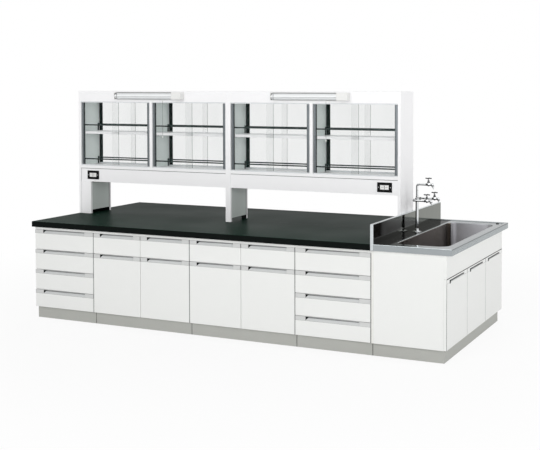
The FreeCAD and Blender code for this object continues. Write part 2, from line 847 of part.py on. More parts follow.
def lamps():
    """Two slim lamps on the front fascia: tray, rounded diffuser, end cap, switch block, spout."""
    pieces = []
    back = -rack_half
    tray_front = back - lamp_tray_depth
    nose = tray_front - lamp_diffuser_depth
    top = lamp_bottom + lamp_height
    for centre in lamp_centres():
        x0 = centre - lamp_length / 2
        x1 = centre + lamp_length / 2
        block_x = x1 - lamp_block_length
        cap_x = x0 + lamp_cap
        outline_start = V(cap_x, tray_front, lamp_bottom)
        mid_y = (tray_front + nose) / 2
        upper = V(cap_x, mid_y, top - lamp_cap)
        lower = V(cap_x, mid_y, lamp_bottom)
        bulge = V(cap_x, nose, (lamp_bottom + top - lamp_cap) / 2)
        shell = Part.Wire([
            Part.LineSegment(outline_start, V(cap_x, tray_front, top - lamp_cap)).toShape(),
            Part.LineSegment(V(cap_x, tray_front, top - lamp_cap), upper).toShape(),
            Part.Arc(upper, bulge, lower).toShape(),
            Part.LineSegment(lower, outline_start).toShape(),
        ])
        pieces.append(block(cap_x, block_x, back, tray_front, lamp_bottom, top))
        pieces.append(Part.Face(shell).extrude(V(block_x - cap_x, 0, 0)))
        pieces.append(block(x0, cap_x, back, nose, lamp_bottom, top))
        pieces.append(block(block_x, x1, back, nose, lamp_bottom, top))
        spout_y = back - cord_from_fascia
        spout = turned([(spout_bore, 0), (spout_radius, 0), (spout_radius, spout_length),
                        (spout_bore, spout_length)],
                       V(centre + cord_offset, spout_y, lamp_bottom - spout_length), V(0, 0, 1))
        pieces.append(spout)
    return pieces


def pull_cord(centre):
    """A short cord that hangs out of the lamp's spout, and the knob on its end."""
    x = centre + cord_offset
    y = -rack_half - cord_from_fascia
    top = lamp_bottom - spout_length + cord_engaged
    end = lamp_bottom - cord_drop
    cord = rod(V(x, y, top), V(x, y, end), cord_radius)
    knob = turned([(0, 0), (knob_radius, 0), (knob_radius, knob_length / 2),
                   (cord_radius, knob_length), (0, knob_length)],
                  V(x, y, end - knob_length), V(0, 0, 1))
    return [cord, knob]


def outlets():
    """Power outlets on both sides of the apron, near its two ends."""
    pieces = []
    face = rack_half - apron_setback
    front = face + outlet_plate
    insert_front = front + outlet_insert_proud
    level = (apron_bottom + apron_top) / 2
    for s in (-1, 1):
        for x in (left_x + outlet_from_left, worktop_right_x - outlet_from_right):
            half_width = outlet_width / 2
            half_height = outlet_height / 2
            pieces.append(block(x - half_width, x + half_width, s * face, s * front,
                                level - half_height, level + half_height))
            half_insert = outlet_insert_width / 2
            half_insert_height = outlet_insert_height / 2
            pieces.append(block(x - half_insert, x + half_insert, s * front, s * insert_front,
                                level - half_insert_height, level + half_insert_height))
    return pieces


def hose_nozzle(tip_start, direction):
    """A ribbed hose tail: each ridge rises slowly from the tip and drops sharply."""
    step = nozzle_length / nozzle_ridges
    outline = [(nozzle_bore, 0), (nozzle_root_radius, 0)]
    for i in range(nozzle_ridges):
        share = i / nozzle_ridges
        radius = nozzle_root_radius - share * (nozzle_root_radius - nozzle_tip_radius)
        outline.append((radius - nozzle_ridge_depth, i * step))
        outline.append((radius - nozzle_ridge_depth, i * step + step / 2))
        outline.append((radius, i * step + step / 2))
    outline = outline[:1] + outline[2:]
    outline.append((nozzle_tip_radius - nozzle_ridge_depth, nozzle_length))
    outline.append((nozzle_bore, nozzle_length))
    return turned(outline, tip_start, direction)


def valve(centre):
    """A globe valve body with inlet, bonnet, packing nut, outlet nut and hose nozzle."""
    bonnet = turned([(0, 0), (bonnet_radius, 0), (bonnet_radius, bonnet_height / 2),
                     (packing_radius, bonnet_height), (0, bonnet_height)], centre, V(0, 0, 1))
    packing_base = centre + V(0, 0, bonnet_height)
    packing = rod(packing_base, packing_base + V(0, 0, packing_height), packing_radius)
    outlet_end = centre + V(outlet_reach, 0, 0)
    outlet = rod(centre, outlet_end, arm_radius)
    knuckle = Part.makeSphere(nut_radius, outlet_end)
    tilt = math.radians(nozzle_tilt_angle)
    down = V(math.sin(tilt), 0, -math.cos(tilt))
    nut_end = outlet_end + down * (nut_radius + nut_length / 2)
    nut = rod(outlet_end, nut_end, nut_radius - nozzle_ridge_depth)
    nozzle = hose_nozzle(nut_end, down)
    body = Part.makeSphere(globe_radius, centre)
    return body.multiFuse([bonnet, packing, outlet, knuckle, nut, nozzle])


def valve_centres():
    """Centres of the three valve bodies: two on the manifold arms, one on the riser."""
    x = guard_right_x + faucet_from_guard
    low = deck_level + manifold_height
    return [V(x + arm_reach, -manifold_reach, low), V(x + arm_reach, manifold_reach, low),
            V(x + riser_reach, 0, deck_level + riser_height)]


def faucet_body():
    """Flange, column, manifold, arms, riser with its bend, valves, and the shank with its nut."""
    x = guard_right_x + faucet_from_guard
    base = deck_level
    low = base + manifold_height
    high = base + riser_height
    flange = turned([(0, 0), (flange_radius, 0), (flange_radius, flange_edge),
                     (collar_radius, flange_height), (column_radius, collar_height), (0, collar_height)],
                    V(x, 0, base), V(0, 0, 1))
    column = rod(V(x, 0, base), V(x, 0, low), column_radius)
    boss = rod(V(x, 0, low - collar_height / 2), V(x, 0, low + collar_height / 2), collar_radius)
    bar = rod(V(x, -manifold_reach, low), V(x, manifold_reach, low), manifold_radius)
    parts = [column, boss, bar]
    for s in (-1, 1):
        corner = V(x, s * manifold_reach, low)
        parts.append(Part.makeSphere(manifold_radius, corner))
        parts.append(rod(corner, corner + V(arm_reach, 0, 0), arm_radius))
    bend_low = V(x, 0, high - riser_bend)
    bend_high = V(x + riser_bend, 0, high)
    turn = math.radians(riser_bend_middle_angle)
    bend_mid = V(x + riser_bend * (1 - math.cos(turn)), 0, high - riser_bend * (1 - math.sin(turn)))
    spine = Part.Wire([
        Part.LineSegment(V(x, 0, low), bend_low).toShape(),
        Part.Arc(bend_low, bend_mid, bend_high).toShape(),
        Part.LineSegment(bend_high, V(x + riser_reach, 0, high)).toShape(),
    ])
    ring = Part.Wire(Part.Circle(V(x, 0, low), V(0, 0, 1), riser_radius).toShape())
    parts.append(spine.makePipeShell([ring], True, False))
    coupling = rod(V(x, 0, low + collar_height / 2), V(x, 0, low + 2 * collar_height), nut_radius)
    parts.append(coupling)
    body = flange.multiFuse(parts + [valve(c) for c in valve_centres()]).removeSplitter()
    shank = rod(V(x, 0, base), V(x, 0, base - shank_length), shank_radius)
    nut_top = base - sheet
    lock_nut = rod(V(x, 0, nut_top), V(x, 0, nut_top - lock_nut_height), lock_nut_radius)
    lock_nut = lock_nut.cut(shank)
    return [body, shank, lock_nut]


def valve_handle(centre):
    """A four-armed handle on its stem, with rounded ends."""
    foot = centre + V(0, 0, bonnet_height + packing_height + seat_gap)
    stem = rod(foot, foot + V(0, 0, stem_length), stem_radius)
    hub_base = foot + V(0, 0, stem_length)
    hub = rod(hub_base, hub_base + V(0, 0, hub_height), hub_radius)
    middle = hub_base + V(0, 0, hub_height / 2)
    parts = [hub]
    for direction in (V(1, 0, 0), V(0, 1, 0)):
        reach = direction * (handle_reach - handle_bar_radius)
        parts.append(rod(middle - reach, middle + reach, handle_bar_radius))
        for end in (middle - reach, middle + reach):
            parts.append(Part.makeSphere(handle_end_radius, end))
    return [stem.multiFuse(parts)]


def build():
    """Every node of the bench by name."""
    nodes = {
        "base_cabinets": base_cabinets(),
        "plinth": plinth(),
        "worktop": worktop(),
        "sink_top": sink_top(),
        "rack_frame": rack_frame(),
        "guard_rails": guard_rails(),
        "glass_tracks": glass_tracks(),
        "lamps": lamps(),
        "outlets": outlets(),
        "faucet_body": faucet_body(),
    }
    for side in (front_side, rear_side):
        for name, kind, u0, u1, z0, z1, clear0, clear1 in row_fronts(side):
            if kind == "drawer":
                nodes[name] = side.place(drawer(u0, u1, z0, z1, clear0, clear1))
            elif kind == "left_door":
                nodes[name] = side.place(door(u0, u1, z0, z1, clear0, 1))
            else:
                nodes[name] = side.place(door(u0, u1, z0, z1, clear1, -1))
    for name, kind, u0, u1, z0, z1, clear0, clear1 in end_fronts():
        if kind == "left_door":
            nodes[name] = end_side.place(door(u0, u1, z0, z1, clear0, 1))
        else:
            nodes[name] = end_side.place(door(u0, u1, z0, z1, clear1, -1))
    for name, lane, at_left in (("left", 1, True), ("right", 0, False)):
        rear = []
        for i, (a, b) in enumerate(rack_bays()):
            nodes[f"glass_bay{i + 1}_{name}"] = glass_pane(a, b, -1, lane, at_left)
            rear += glass_pane(a, b, 1, lane, at_left)
        nodes[f"rear_glass_{name}"] = rear
    for i, centre in enumerate(valve_centres()):
        nodes[f"valve_handle{i + 1}"] = valve_handle(centre)
    for i, centre in enumerate(lamp_centres()):
        nodes[f"pull_cord{i + 1}"] = pull_cord(centre)
    return nodes


os.makedirs("parts", exist_ok=True)
for node, solids in build().items():
    shape = solids[0] if len(solids) == 1 else Part.makeCompound(solids)
    shape.exportStep(f"parts/{node}.step")
    print(node, len(shape.Solids), "solids, valid", shape.isValid(), "volume", round(shape.Volume))
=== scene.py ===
import math

import bmesh
import bpy
from mathutils import Matrix, Vector


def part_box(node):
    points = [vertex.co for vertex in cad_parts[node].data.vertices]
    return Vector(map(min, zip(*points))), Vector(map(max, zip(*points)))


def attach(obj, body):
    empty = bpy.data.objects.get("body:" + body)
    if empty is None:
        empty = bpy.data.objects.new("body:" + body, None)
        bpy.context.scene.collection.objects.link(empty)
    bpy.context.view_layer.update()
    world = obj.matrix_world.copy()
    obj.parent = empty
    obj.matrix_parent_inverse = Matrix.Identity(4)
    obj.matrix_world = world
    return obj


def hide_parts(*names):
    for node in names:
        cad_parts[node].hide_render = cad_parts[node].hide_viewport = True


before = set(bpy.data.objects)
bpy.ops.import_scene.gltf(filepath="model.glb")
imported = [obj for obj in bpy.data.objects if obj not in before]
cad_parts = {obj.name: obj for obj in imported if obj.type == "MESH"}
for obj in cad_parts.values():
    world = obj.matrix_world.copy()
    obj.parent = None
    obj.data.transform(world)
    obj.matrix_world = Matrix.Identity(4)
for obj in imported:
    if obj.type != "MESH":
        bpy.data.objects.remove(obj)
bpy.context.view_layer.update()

bl_info = {
    "name": "Laboratory island bench",
    "version": (1, 0, 0),
    "blender": (4, 5, 0),
    "location": "View3D > Sidebar > Bench",
    "description": "Pieces of a double-sided laboratory bench with a sink end and a glazed rack",
    "category": "Object",
}

BENCH = "bench"
X, Y, Z = (1, 0, 0), (0, 1, 0), (0, 0, 1)
SIDES = (-1, 1)

# Cabinet boards and clearances, in metres
BOARD = 0.018
BACK_BOARD = 0.009
FRONT = 0.020
GAP = 0.003
SEAT = 0.0003
STRIP = 0.020
STRETCHER = 0.080
TIER_SHARE = 0.258
SHELF_SETBACK = 0.040
SHELF_END_GAP = 0.001
PEG_RADIUS = 0.003
PEG_INSET = 0.060
VOID_HALF = 0.100
FASCIA = 0.165
END_DOORS = 3
WASTE_GAP = 0.090

# Drawer boxes, runners and hinges
BOX_BOARD = 0.012
BOX_BOTTOM = 0.006
BOX_RISE = 0.022
BOX_DROP = 0.044
RUNNER_SPACE = 0.0125
RUNNER_WALL = 0.0015
RUNNER_FLANGE = 0.011
RUNNER_HEIGHT = 0.036
RUNNER_RISE = 0.008
RUNNER_SETBACK = 0.024
RUNNER_LENGTH = 0.480
RAIL_LENGTH = 0.440
HINGE_INSET = 0.090
PLATE_THICK, PLATE_LENGTH, PLATE_TALL = 0.008, 0.046, 0.032
ARM_WIDE, ARM_REACH, ARM_TALL = 0.012, 0.030, 0.014
BOSS_WIDE, BOSS_DEPTH, BOSS_TALL = 0.040, 0.0025, 0.050

# Lines drawn with thin strips: how far they stand proud, how deep they go, and their widths
PROUD = 0.0003
INLAY = 0.001
# SINK_SEAM, END_LINE, END_SEAM, END_MARK and UNIT_SEAM are widths of dark strips of painted shade in
# gaps, at corners and under the end doors' scoops
SINK_SEAM = 2.2
END_LINE = 0.0045
END_SEAM = (0.0014, 0.0042)
END_MARK = (0.026, 0.024)
UNIT_SEAM = 0.0009
PLINTH_SEAM = 0.0022
TOP_SEAM = 0.0028

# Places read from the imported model
TOP_LO, TOP_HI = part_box("worktop")
SINK_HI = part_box("sink_top")[1]
RACK_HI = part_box("rack_frame")[1]
PLINTH_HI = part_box("plinth")[1]
LEFT_X, JOIN_X, RIGHT_X = TOP_LO.x, TOP_HI.x, SINK_HI.x
HALF_DEPTH = TOP_HI.y
WORKTOP = TOP_HI.z
CASE_TOP = TOP_LO.z
CASE_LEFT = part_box("base_cabinets")[0].x
CASE_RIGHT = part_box("end_door1")[1].x
FACE_Y = -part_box("front_unit1_drawer1")[0].y
CASE_LOW = PLINTH_HI.z
TIERS_TOP = CASE_TOP - STRIP
TIER = TIER_SHARE * (TIERS_TOP - CASE_LOW)
INNER = FACE_Y - VOID_HALF
UNIT_KINDS = ("drawers", "cupboard", "cupboard", "drawers")
UNIT_EDGES = (CASE_LEFT, LEFT_X + 0.6, LEFT_X + 1.5, LEFT_X + 2.4, JOIN_X)

# Sink end
DECK = WORKTOP - 0.005
GUARD = 0.025
BASIN_LEFT, BASIN_RIGHT, BASIN_HALF = JOIN_X + 0.14, RIGHT_X - 0.078, HALF_DEPTH - 0.13
BASIN_CLEAR = 0.006
CORNER_STEPS = 8
TRAP_OUTLET = 0.1405
FAUCET_X = JOIN_X + GUARD + 0.057
STEM_SEAT = 0.0353
ARM_BEND = 0.014
RISER_BEND = 0.016

# Reagent rack
RACK_PANEL = 0.024
RACK_POST = 0.027
RACK_HALF = RACK_HI.y
RACK_TOP = RACK_HI.z
RACK_MID = (LEFT_X + JOIN_X) / 2
RACK_HALVES = ((LEFT_X + RACK_PANEL, RACK_MID - RACK_PANEL),
               (RACK_MID + RACK_PANEL, JOIN_X - RACK_PANEL))
APRON_LOW = WORKTOP + 0.28
APRON_TOP = APRON_LOW + 0.116
APRON_Y = RACK_HALF - 0.004
RACK_FLOOR = APRON_TOP + RACK_PANEL
GLAZING_TOP = RACK_TOP - 0.09
RACK_SHELF = RACK_FLOOR + 0.493 * (GLAZING_TOP - RACK_FLOOR)
SHELF_THICK = 0.022
LEG_WIDE = 0.101
LEG_PLATE = 0.016
LEG_LINER = 0.034
TRACK_WALL = 0.0015
TRACK_LANE = 0.0107
TRACK_TALL = 0.009
TRACK_DEPTH = 3 * TRACK_WALL + 2 * TRACK_LANE
BAR_SETBACK = 0.042
BAR_RISE = 0.055

# Lamps and cords, from the middle of each lamp
LAMP_HALF = 0.332
LAMP_BLOCK = 0.090
LAMP_CAP = 0.006
LAMP_TRAY = 0.024
LAMP_LOW = RACK_TOP - 0.07
DIFFUSER_STEPS = 28
CORD_X = 0.15
CORD_Y = -RACK_HALF - 0.044
CORD_TOP = RACK_TOP - 0.071
CORD_END = RACK_TOP - 0.370

# The camera that was solved from the photo, in its pixels and in metres
PHOTO_WIDE, PHOTO_TALL = 540.0, 450.0
SENSOR = 36.0
LENS_PIXELS = 1002.4
CENTRE_PIXEL = (343.8, 122.4)
CAMERA_PLACE = (3.851, -7.217, 1.898)
CAMERA_ANGLES = (88.0, 0.0, 23.79)


def linear(*screen):
    """A screen colour of 0 to 255 as the linear colour that Blender's sockets hold."""
    shares = [level / 255 for level in screen]
    return tuple(share / 12.92 if share <= 0.04045 else ((share + 0.055) / 1.055) ** 2.4
                 for share in shares)


def shade(colour, factor):
    """A colour made darker or lighter."""
    return (*[level * factor for level in colour[:3]], 1.0)


def turns(count, shift=0.0):
    """Angles set out evenly round a circle."""
    return [2 * math.pi * (i + shift) / count for i in range(count)]


def capped(*pairs):
    """A profile closed by flat ends on its axis."""
    return ((0, pairs[0][1]), *pairs, (0, pairs[-1][1]))


def washer(inner, outer, low, high):
    """The profile of a flat ring."""
    return ((inner, low), (outer, low), (outer, high), (inner, high), (inner, low))


# ---- Node graphs ----

class Value:
    """One output of a node, with sums on it written as plain maths."""

    def __init__(self, graph, socket):
        self.graph = graph
        self.socket = socket

    def maths(self, operation, first, second):
        return self.graph.node("ShaderNodeMath", {0: first, 1: second}, operation=operation)

    def __add__(self, other):
        return self.maths("ADD", self, other)

    def __sub__(self, other):
        return self.maths("SUBTRACT", self, other)

    def __rsub__(self, other):
        return self.maths("SUBTRACT", other, self)

    def __mul__(self, other):
        return self.maths("MULTIPLY", self, other)

    __radd__ = __add__
    __rmul__ = __mul__

    def larger(self, other):
        return self.maths("MAXIMUM", self, other)

    def absolute(self):
        return self.maths("ABSOLUTE", self, 0.0)

    def mapped(self, low, high, to_low=0.0, to_high=1.0):
        """The value from low to high, spread over another range and held inside it."""
        return self.graph.node("ShaderNodeMapRange", {
            0: self, 1: low, 2: high, 3: to_low, 4: to_high})

    def band(self, low, high, blur):
        """1 between two limits and 0 outside them."""
        return self.mapped(low, low + blur) * self.mapped(high - blur, high, 1.0, 0.0)


class Graph:
    """A node tree that is filled one node at a time."""

    def __init__(self, tree):
        self.tree = tree

    def node(self, kind, sockets=None, out=0, **settings):
        """Adds a node: its settings first, then the values or links of its sockets."""
        made = self.tree.nodes.new(kind)
        for key, value in settings.items():
            setattr(made, key, value)
        for key, value in (sockets or {}).items():
            if isinstance(value, Value):
                self.tree.links.new(value.socket, made.inputs[key])
            else:
                made.inputs[key].default_value = value
        return Value(self, made.outputs[out]) if len(made.outputs) else made


class Finish(Graph):
    """A material whose pattern is worked out from its nodes."""

    def __init__(self, name, colour, roughness, **constants):
        self.material = bpy.data.materials.new(name)
        self.material.use_nodes = True
        super().__init__(self.material.node_tree)
        self.shader = self.tree.nodes["Principled BSDF"]
        self.colour = (*colour, 1.0)
        self.material.diffuse_color = self.colour
        self.shader.inputs["Base Color"].default_value = self.colour
        self.shader.inputs["Roughness"].default_value = roughness
        for key, value in constants.items():
            self.shader.inputs[key.replace("_", " ")].default_value = value
        self.place = self.node("ShaderNodeTexCoord", out="Object")

    def along(self, axis):
        """A point's place along an axis, in metres from the bench's middle or from the floor."""
        return self.node("ShaderNodeSeparateXYZ", {0: self.place}, out="XYZ"[axis.index(1)])

    def noise(self, scale, detail=3.0, stretch=None, roughness=0.5):
        place = self.place
        if stretch:
            place = self.node("ShaderNodeMapping", {"Vector": place, "Scale": stretch})
        return self.node("ShaderNodeTexNoise", {
            "Vector": place, "Scale": scale, "Detail": detail, "Roughness": roughness})

    def clouds(self, scale, detail, low, high, most):
        """A share from 0 to most that drifts over the surface."""
        return self.noise(scale, detail).mapped(low, high, 0.0, most)

    def blend(self, share, first, second):
        """A colour between two others."""
        return self.node("ShaderNodeMix", {0: share, 6: first, 7: second}, 2, data_type="RGBA")

    def feed(self, socket, value):
        self.tree.links.new(value.socket, self.shader.inputs[socket])

    def paint(self, share, second, first=None):
        """Blends the base colour towards a second one."""
        self.feed("Base Color", self.blend(share, first or self.colour, second))

    def wear(self, pattern, least, most):
        """Spreads the roughness over a range."""
        self.feed("Roughness", pattern.mapped(0.3, 0.7, least, most))

    def relief(self, height, depth, strength=0.5):
        """Raises the surface by a height of 0 to 1 times the depth in metres."""
        self.feed("Normal", self.node("ShaderNodeBump", {
            "Height": height, "Distance": depth, "Strength": strength}))

    def pores(self, roughness):
        """The fine pores of a faced board."""
        grain = self.noise(900.0, 2.0)
        self.wear(grain, roughness - 0.05, roughness + 0.09)
        self.relief(grain, 0.00003, 0.6)

    def lay(self, share, shader):
        """Lays another shader over this one."""
        own = Value(self, self.shader.outputs["BSDF"])
        both = self.node("ShaderNodeMixShader", {0: share, 1: own, 2: shader})
        self.tree.links.new(both.socket, self.tree.nodes["Material Output"].inputs["Surface"])


# ---- Finishes ----

def board_finish(name, colour, roughness=0.36, soiling=0.035):
    """Melamine-faced board: fine pores, faint clouding and a little dulling near the floor."""
    made = Finish(name, colour, roughness)
    low = made.along(Z).mapped(CASE_LOW, CASE_LOW + 0.25, soiling, 0.0)
    made.paint(made.clouds(2.3, 2.0, 0.3, 0.75, soiling) + low, shade(colour, 0.72))
    made.pores(roughness)
    return made.material


def rack_finish(name, colour):
    """White rack board, with painted light on the side walls of the bays behind the glass: a green,
    slightly darker tint standing in for the light that comes through the green glass.
    """
    made = Finish(name, colour, 0.34)
    normal = made.node("ShaderNodeNewGeometry", out="Normal")
    sideways = made.node("ShaderNodeSeparateXYZ", {0: normal})
    # painted light: the tint of light through the glass, only on faces turned sideways inside the
    # glazed bays
    inside = (made.along(Z).band(RACK_FLOOR, GLAZING_TOP, 0.004)
              * sideways.absolute().mapped(0.5, 0.9)
              * made.along(X).band(LEFT_X + 0.01, JOIN_X - 0.01, 0.002)
              * made.along(Y).absolute().mapped(RACK_HALF - 0.034, RACK_HALF - 0.029, 1.0, 0.0))
    tone = made.blend(made.clouds(2.3, 2.0, 0.3, 0.75, 0.02), made.colour, shade(colour, 0.72))
    made.paint(inside * 0.9, (0.87, 0.945, 0.92, 1.0), tone)
    made.pores(0.34)
    return made.material


def metal_finish(name, colour, roughness, along=(1.0, 60.0, 60.0), line=24.0, variation=0.12):
    """Metal with fine brushed lines and slight cloudiness."""
    made = Finish(name, colour, roughness, Metallic=1.0)
    lines = made.noise(line, 4.0, along, 0.7)
    made.wear(lines, max(0.02, roughness - variation * 0.5), roughness + variation)
    made.paint(made.clouds(9.0, 3.0, 0.35, 0.7, 0.35), shade(colour, 0.82))
    made.relief(lines, 0.00002)
    return made.material


def basin_finish(name, colour):
    """Satin basin steel with painted light: lighter and less metallic towards the bench's end."""
    made = Finish(name, colour, 0.46, Metallic=1.0)
    # painted light: the basin's steel grows lighter and less metallic towards the bench's end
    far = made.along(X).mapped(BASIN_LEFT + 0.08, BASIN_RIGHT)
    tone = made.blend(far, made.colour, shade(colour, 1.7))
    made.paint(made.clouds(9.0, 3.0, 0.35, 0.7, 0.3), shade(colour, 0.82), tone)
    made.feed("Metallic", 1.0 - far * 0.7)
    made.wear(made.noise(40.0), 0.42, 0.52)
    return made.material


def deck_finish(name, colour):
    """Brushed deck with a painted dark reflection of the guard on the flat deck beside it, and a
    painted dark line of shade on the inner slope of its raised edge at the bench's end.
    """
    made = Finish(name, colour, 0.12, Metallic=1.0, Specular_Tint=(0.75, 0.75, 0.75, 1.0))
    across = made.along(X)
    low = made.along(Z).mapped(WORKTOP - 0.0048, WORKTOP - 0.002, 1.0, 0.0)
    # painted reflection: the flat deck between the guard and the basin, inside the raised edge, is
    # marked out for near-black
    near = (across.mapped(JOIN_X + 0.115, JOIN_X + 0.135, 1.0, 0.0)
            * across.mapped(JOIN_X + 0.02, JOIN_X + 0.026))
    inside = made.along(Y).absolute().mapped(HALF_DEPTH - 0.03, HALF_DEPTH - 0.02, 1.0, 0.0)
    # painted shade: a dark line on the inner slope of the raised edge at the bench's end
    line = across.band(RIGHT_X - 0.034, RIGHT_X - 0.024, 0.002) * inside
    tone = made.blend(made.clouds(6.0, 3.0, 0.35, 0.7, 0.3), made.colour, shade(colour, 0.85))
    made.paint(line * 0.75, shade(colour, 0.1), tone)
    lines = made.noise(24.0, 4.0, (30.0, 1.0, 30.0), 0.7)
    made.wear(lines, 0.09, 0.18)
    made.relief(lines, 0.000004)
    # painted reflection: near-black laid over the deck beside the guard
    made.lay(near * low * inside, made.node("ShaderNodeBsdfPrincipled", {
        "Base Color": (0.012, 0.012, 0.012, 1.0), "Roughness": 0.14, "Specular IOR Level": 0.006}))
    return made.material


def guard_finish(name, colour):
    """Polished steel with a painted dark reflection at its near end that fades along its length."""
    made = Finish(name, colour, 0.08, Metallic=1.0)
    # painted reflection: darker towards the near end
    near = made.along(Y).mapped(-0.72, 0.1, 1.0, 0.0)
    cloud = made.noise(5.0, 3.0, (1.0, 2.0, 0.4))
    tone = made.blend(cloud.mapped(0.35, 0.7, 0.0, 0.25), made.colour, shade(colour, 0.8))
    made.paint(near * 0.85, shade(colour, 0.16), tone)
    made.wear(cloud, 0.05, 0.11)
    return made.material


def chrome_finish(name, colour, factor=1.0):
    """Bright plating with painted reflection: faces turned towards two fixed directions are painted
    bright and the flanks dark, as curved chrome looks.
    """
    made = Finish(name, shade(colour, factor)[:3], 0.07, Metallic=1.0)
    normal = made.node("ShaderNodeNewGeometry", out="Normal")
    # painted highlights and dark flanks, set by how each face turns towards two fixed directions
    lit = []
    for way in ((0.77, -0.64, 0.0), (-0.1, -0.6, 0.79)):
        facing = made.node("ShaderNodeVectorMath", {0: normal, 1: way}, "Value",
                           operation="DOT_PRODUCT")
        lit.append(facing.absolute().mapped(0.66, 0.9))
    made.paint(lit[0].larger(lit[1]), made.colour, shade(made.colour, 0.05))
    made.wear(made.noise(60.0), 0.05, 0.1)
    return made.material


def plastic_finish(name, colour, roughness, shine=0.5, grain=700.0):
    """Moulded plastic with a fine spark-eroded grain."""
    made = Finish(name, colour, roughness, Specular_IOR_Level=shine)
    grains = made.noise(grain)
    made.wear(grains, roughness - 0.06, roughness + 0.08)
    made.paint(made.clouds(6.0, 3.0, 0.3, 0.7, 0.2), shade(colour, 0.9))
    made.relief(grains, 0.00004)
    return made.material


def resin_finish(name, colour):
    """Cast black worktop with a painted sheen on its upper face: lighter and greener than its edges,
    lighter towards the front side and darker towards the rear; a fine fleck, a satin skin and faint
    wiping marks.
    """
    made = Finish(name, colour, 0.34, Specular_IOR_Level=0.0055)
    top = bpy.context.scene.bench_colours.worktop_top
    fleck = made.noise(520.0, 2.0).mapped(0.58, 0.72)
    # painted sheen: the upper face takes a lighter, greener colour than the edges, lighter towards
    # the front and darker towards the rear
    upper = made.along(Z).mapped(WORKTOP - 0.002, WORKTOP - 0.0006)
    far = made.along(Y).mapped(-HALF_DEPTH, HALF_DEPTH)
    face = made.blend(far, shade(top, 1.25), shade(top, 0.45))
    made.paint(fleck * 0.3, shade(top, 1.8), made.blend(upper, made.colour, face))
    made.feed("Roughness", made.noise(1.4).mapped(0.3, 0.7, 0.32, 0.4) + fleck * 0.04)
    made.relief(made.noise(340.0), 0.00004)
    return made.material


def glass_finish(name, colour, thin, thick, factor=1.0):
    """Clear sheet glass with a green cast, cleaned but not spotless."""
    made = Finish(name, shade(colour, factor)[:3], 0.03, IOR=1.5)
    smears = made.noise(5.0, 5.0, (1.0, 1.0, 0.35))
    made.feed("Alpha", smears.mapped(0.3, 0.75, thin, thick))
    made.feed("Roughness", smears.mapped(0.4, 0.7, 0.02, 0.1))
    return made.material


def cord_finish(name, colour):
    """Twisted cotton cord."""
    made = Finish(name, colour, 0.75)
    strands = made.node("ShaderNodeTexWave", {
        "Vector": made.place, "Scale": 380.0, "Distortion": 0.4}, bands_direction="DIAGONAL")
    made.paint(strands * 0.4, shade(colour, 0.75))
    made.relief(strands, 0.0002, 0.7)
    return made.material


# Each finish: how it is made, its name and what it needs besides its colour
FINISHES = {
    "front": (board_finish, "White front"),
    "board": (board_finish, "White board", 0.42),
    "rack": (rack_finish, "White rack board"),
    "pull": (plastic_finish, "Pale grey pull", 0.34),
    "recess": (plastic_finish, "Scoop plastic", 0.45, 0.2),
    "scoop": (plastic_finish, "Pale scoop plastic", 0.4),
    "seam": (plastic_finish, "Grey seam plastic", 0.55),
    "joint": (plastic_finish, "Pale joint plastic", 0.5),
    "leg": (board_finish, "Grey leg plate"),
    "seal": (plastic_finish, "Black seal plastic", 0.5, 0.1),
    "plinth": (board_finish, "Grey plinth board", 0.55, 0.12),
    "worktop": (resin_finish, "Black cast worktop"),
    "deck": (deck_finish, "Brushed sink deck"),
    "edge_steel": (metal_finish, "Bright edge steel", 0.2),
    "end_steel": (metal_finish, "Deck end steel", 0.25),
    "basin": (basin_finish, "Pressed basin end"),
    "basin_side": (metal_finish, "Pressed basin side", 0.2, (1.0, 1.0, 1.0), 8.0, 0.06),
    "guard": (guard_finish, "Polished guard steel"),
    "fitting": (metal_finish, "Zinc fitting steel", 0.36),
    "bar": (metal_finish, "Dark rail metal", 0.2),
    "track": (plastic_finish, "Pale track", 0.35),
    "stile": (metal_finish, "Anodised stile", 0.3, (60.0, 60.0, 1.0)),
    "chrome": (chrome_finish, "Faucet chrome"),
    # painted shade: the faucet's handles, collars and nuts take a much darker copy of its chrome
    "handle": (chrome_finish, "Handle chrome", 0.14),
    "plate": (plastic_finish, "Black plate plastic", 0.5, 0.08),
    "plastic": (plastic_finish, "White moulded plastic", 0.32),
    "diffuser": (plastic_finish, "Milky diffuser", 0.22, 0.5, 400.0),
    "rubber": (plastic_finish, "Dark seal rubber", 0.6),
    "glass": (glass_finish, "Green-cast sheet glass", 0.036, 0.058),
    "glass_edge": (glass_finish, "Ground glass edge", 0.4, 0.6, 0.6),
    "cord": (cord_finish, "Grey cotton cord"),
}
SHARED_COLOURS = {"handle": "chrome", "glass_edge": "glass"}
MATERIALS = {}


def finish_of(key):
    """The material of a finish, made the first time it is asked for."""
    if key not in MATERIALS:
        make, name, *needs = FINISHES[key]
        colour = getattr(bpy.context.scene.bench_colours, SHARED_COLOURS.get(key, key))
        MATERIALS[key] = make(name, colour, *needs)
    return MATERIALS[key]


# ---- Meshes ----

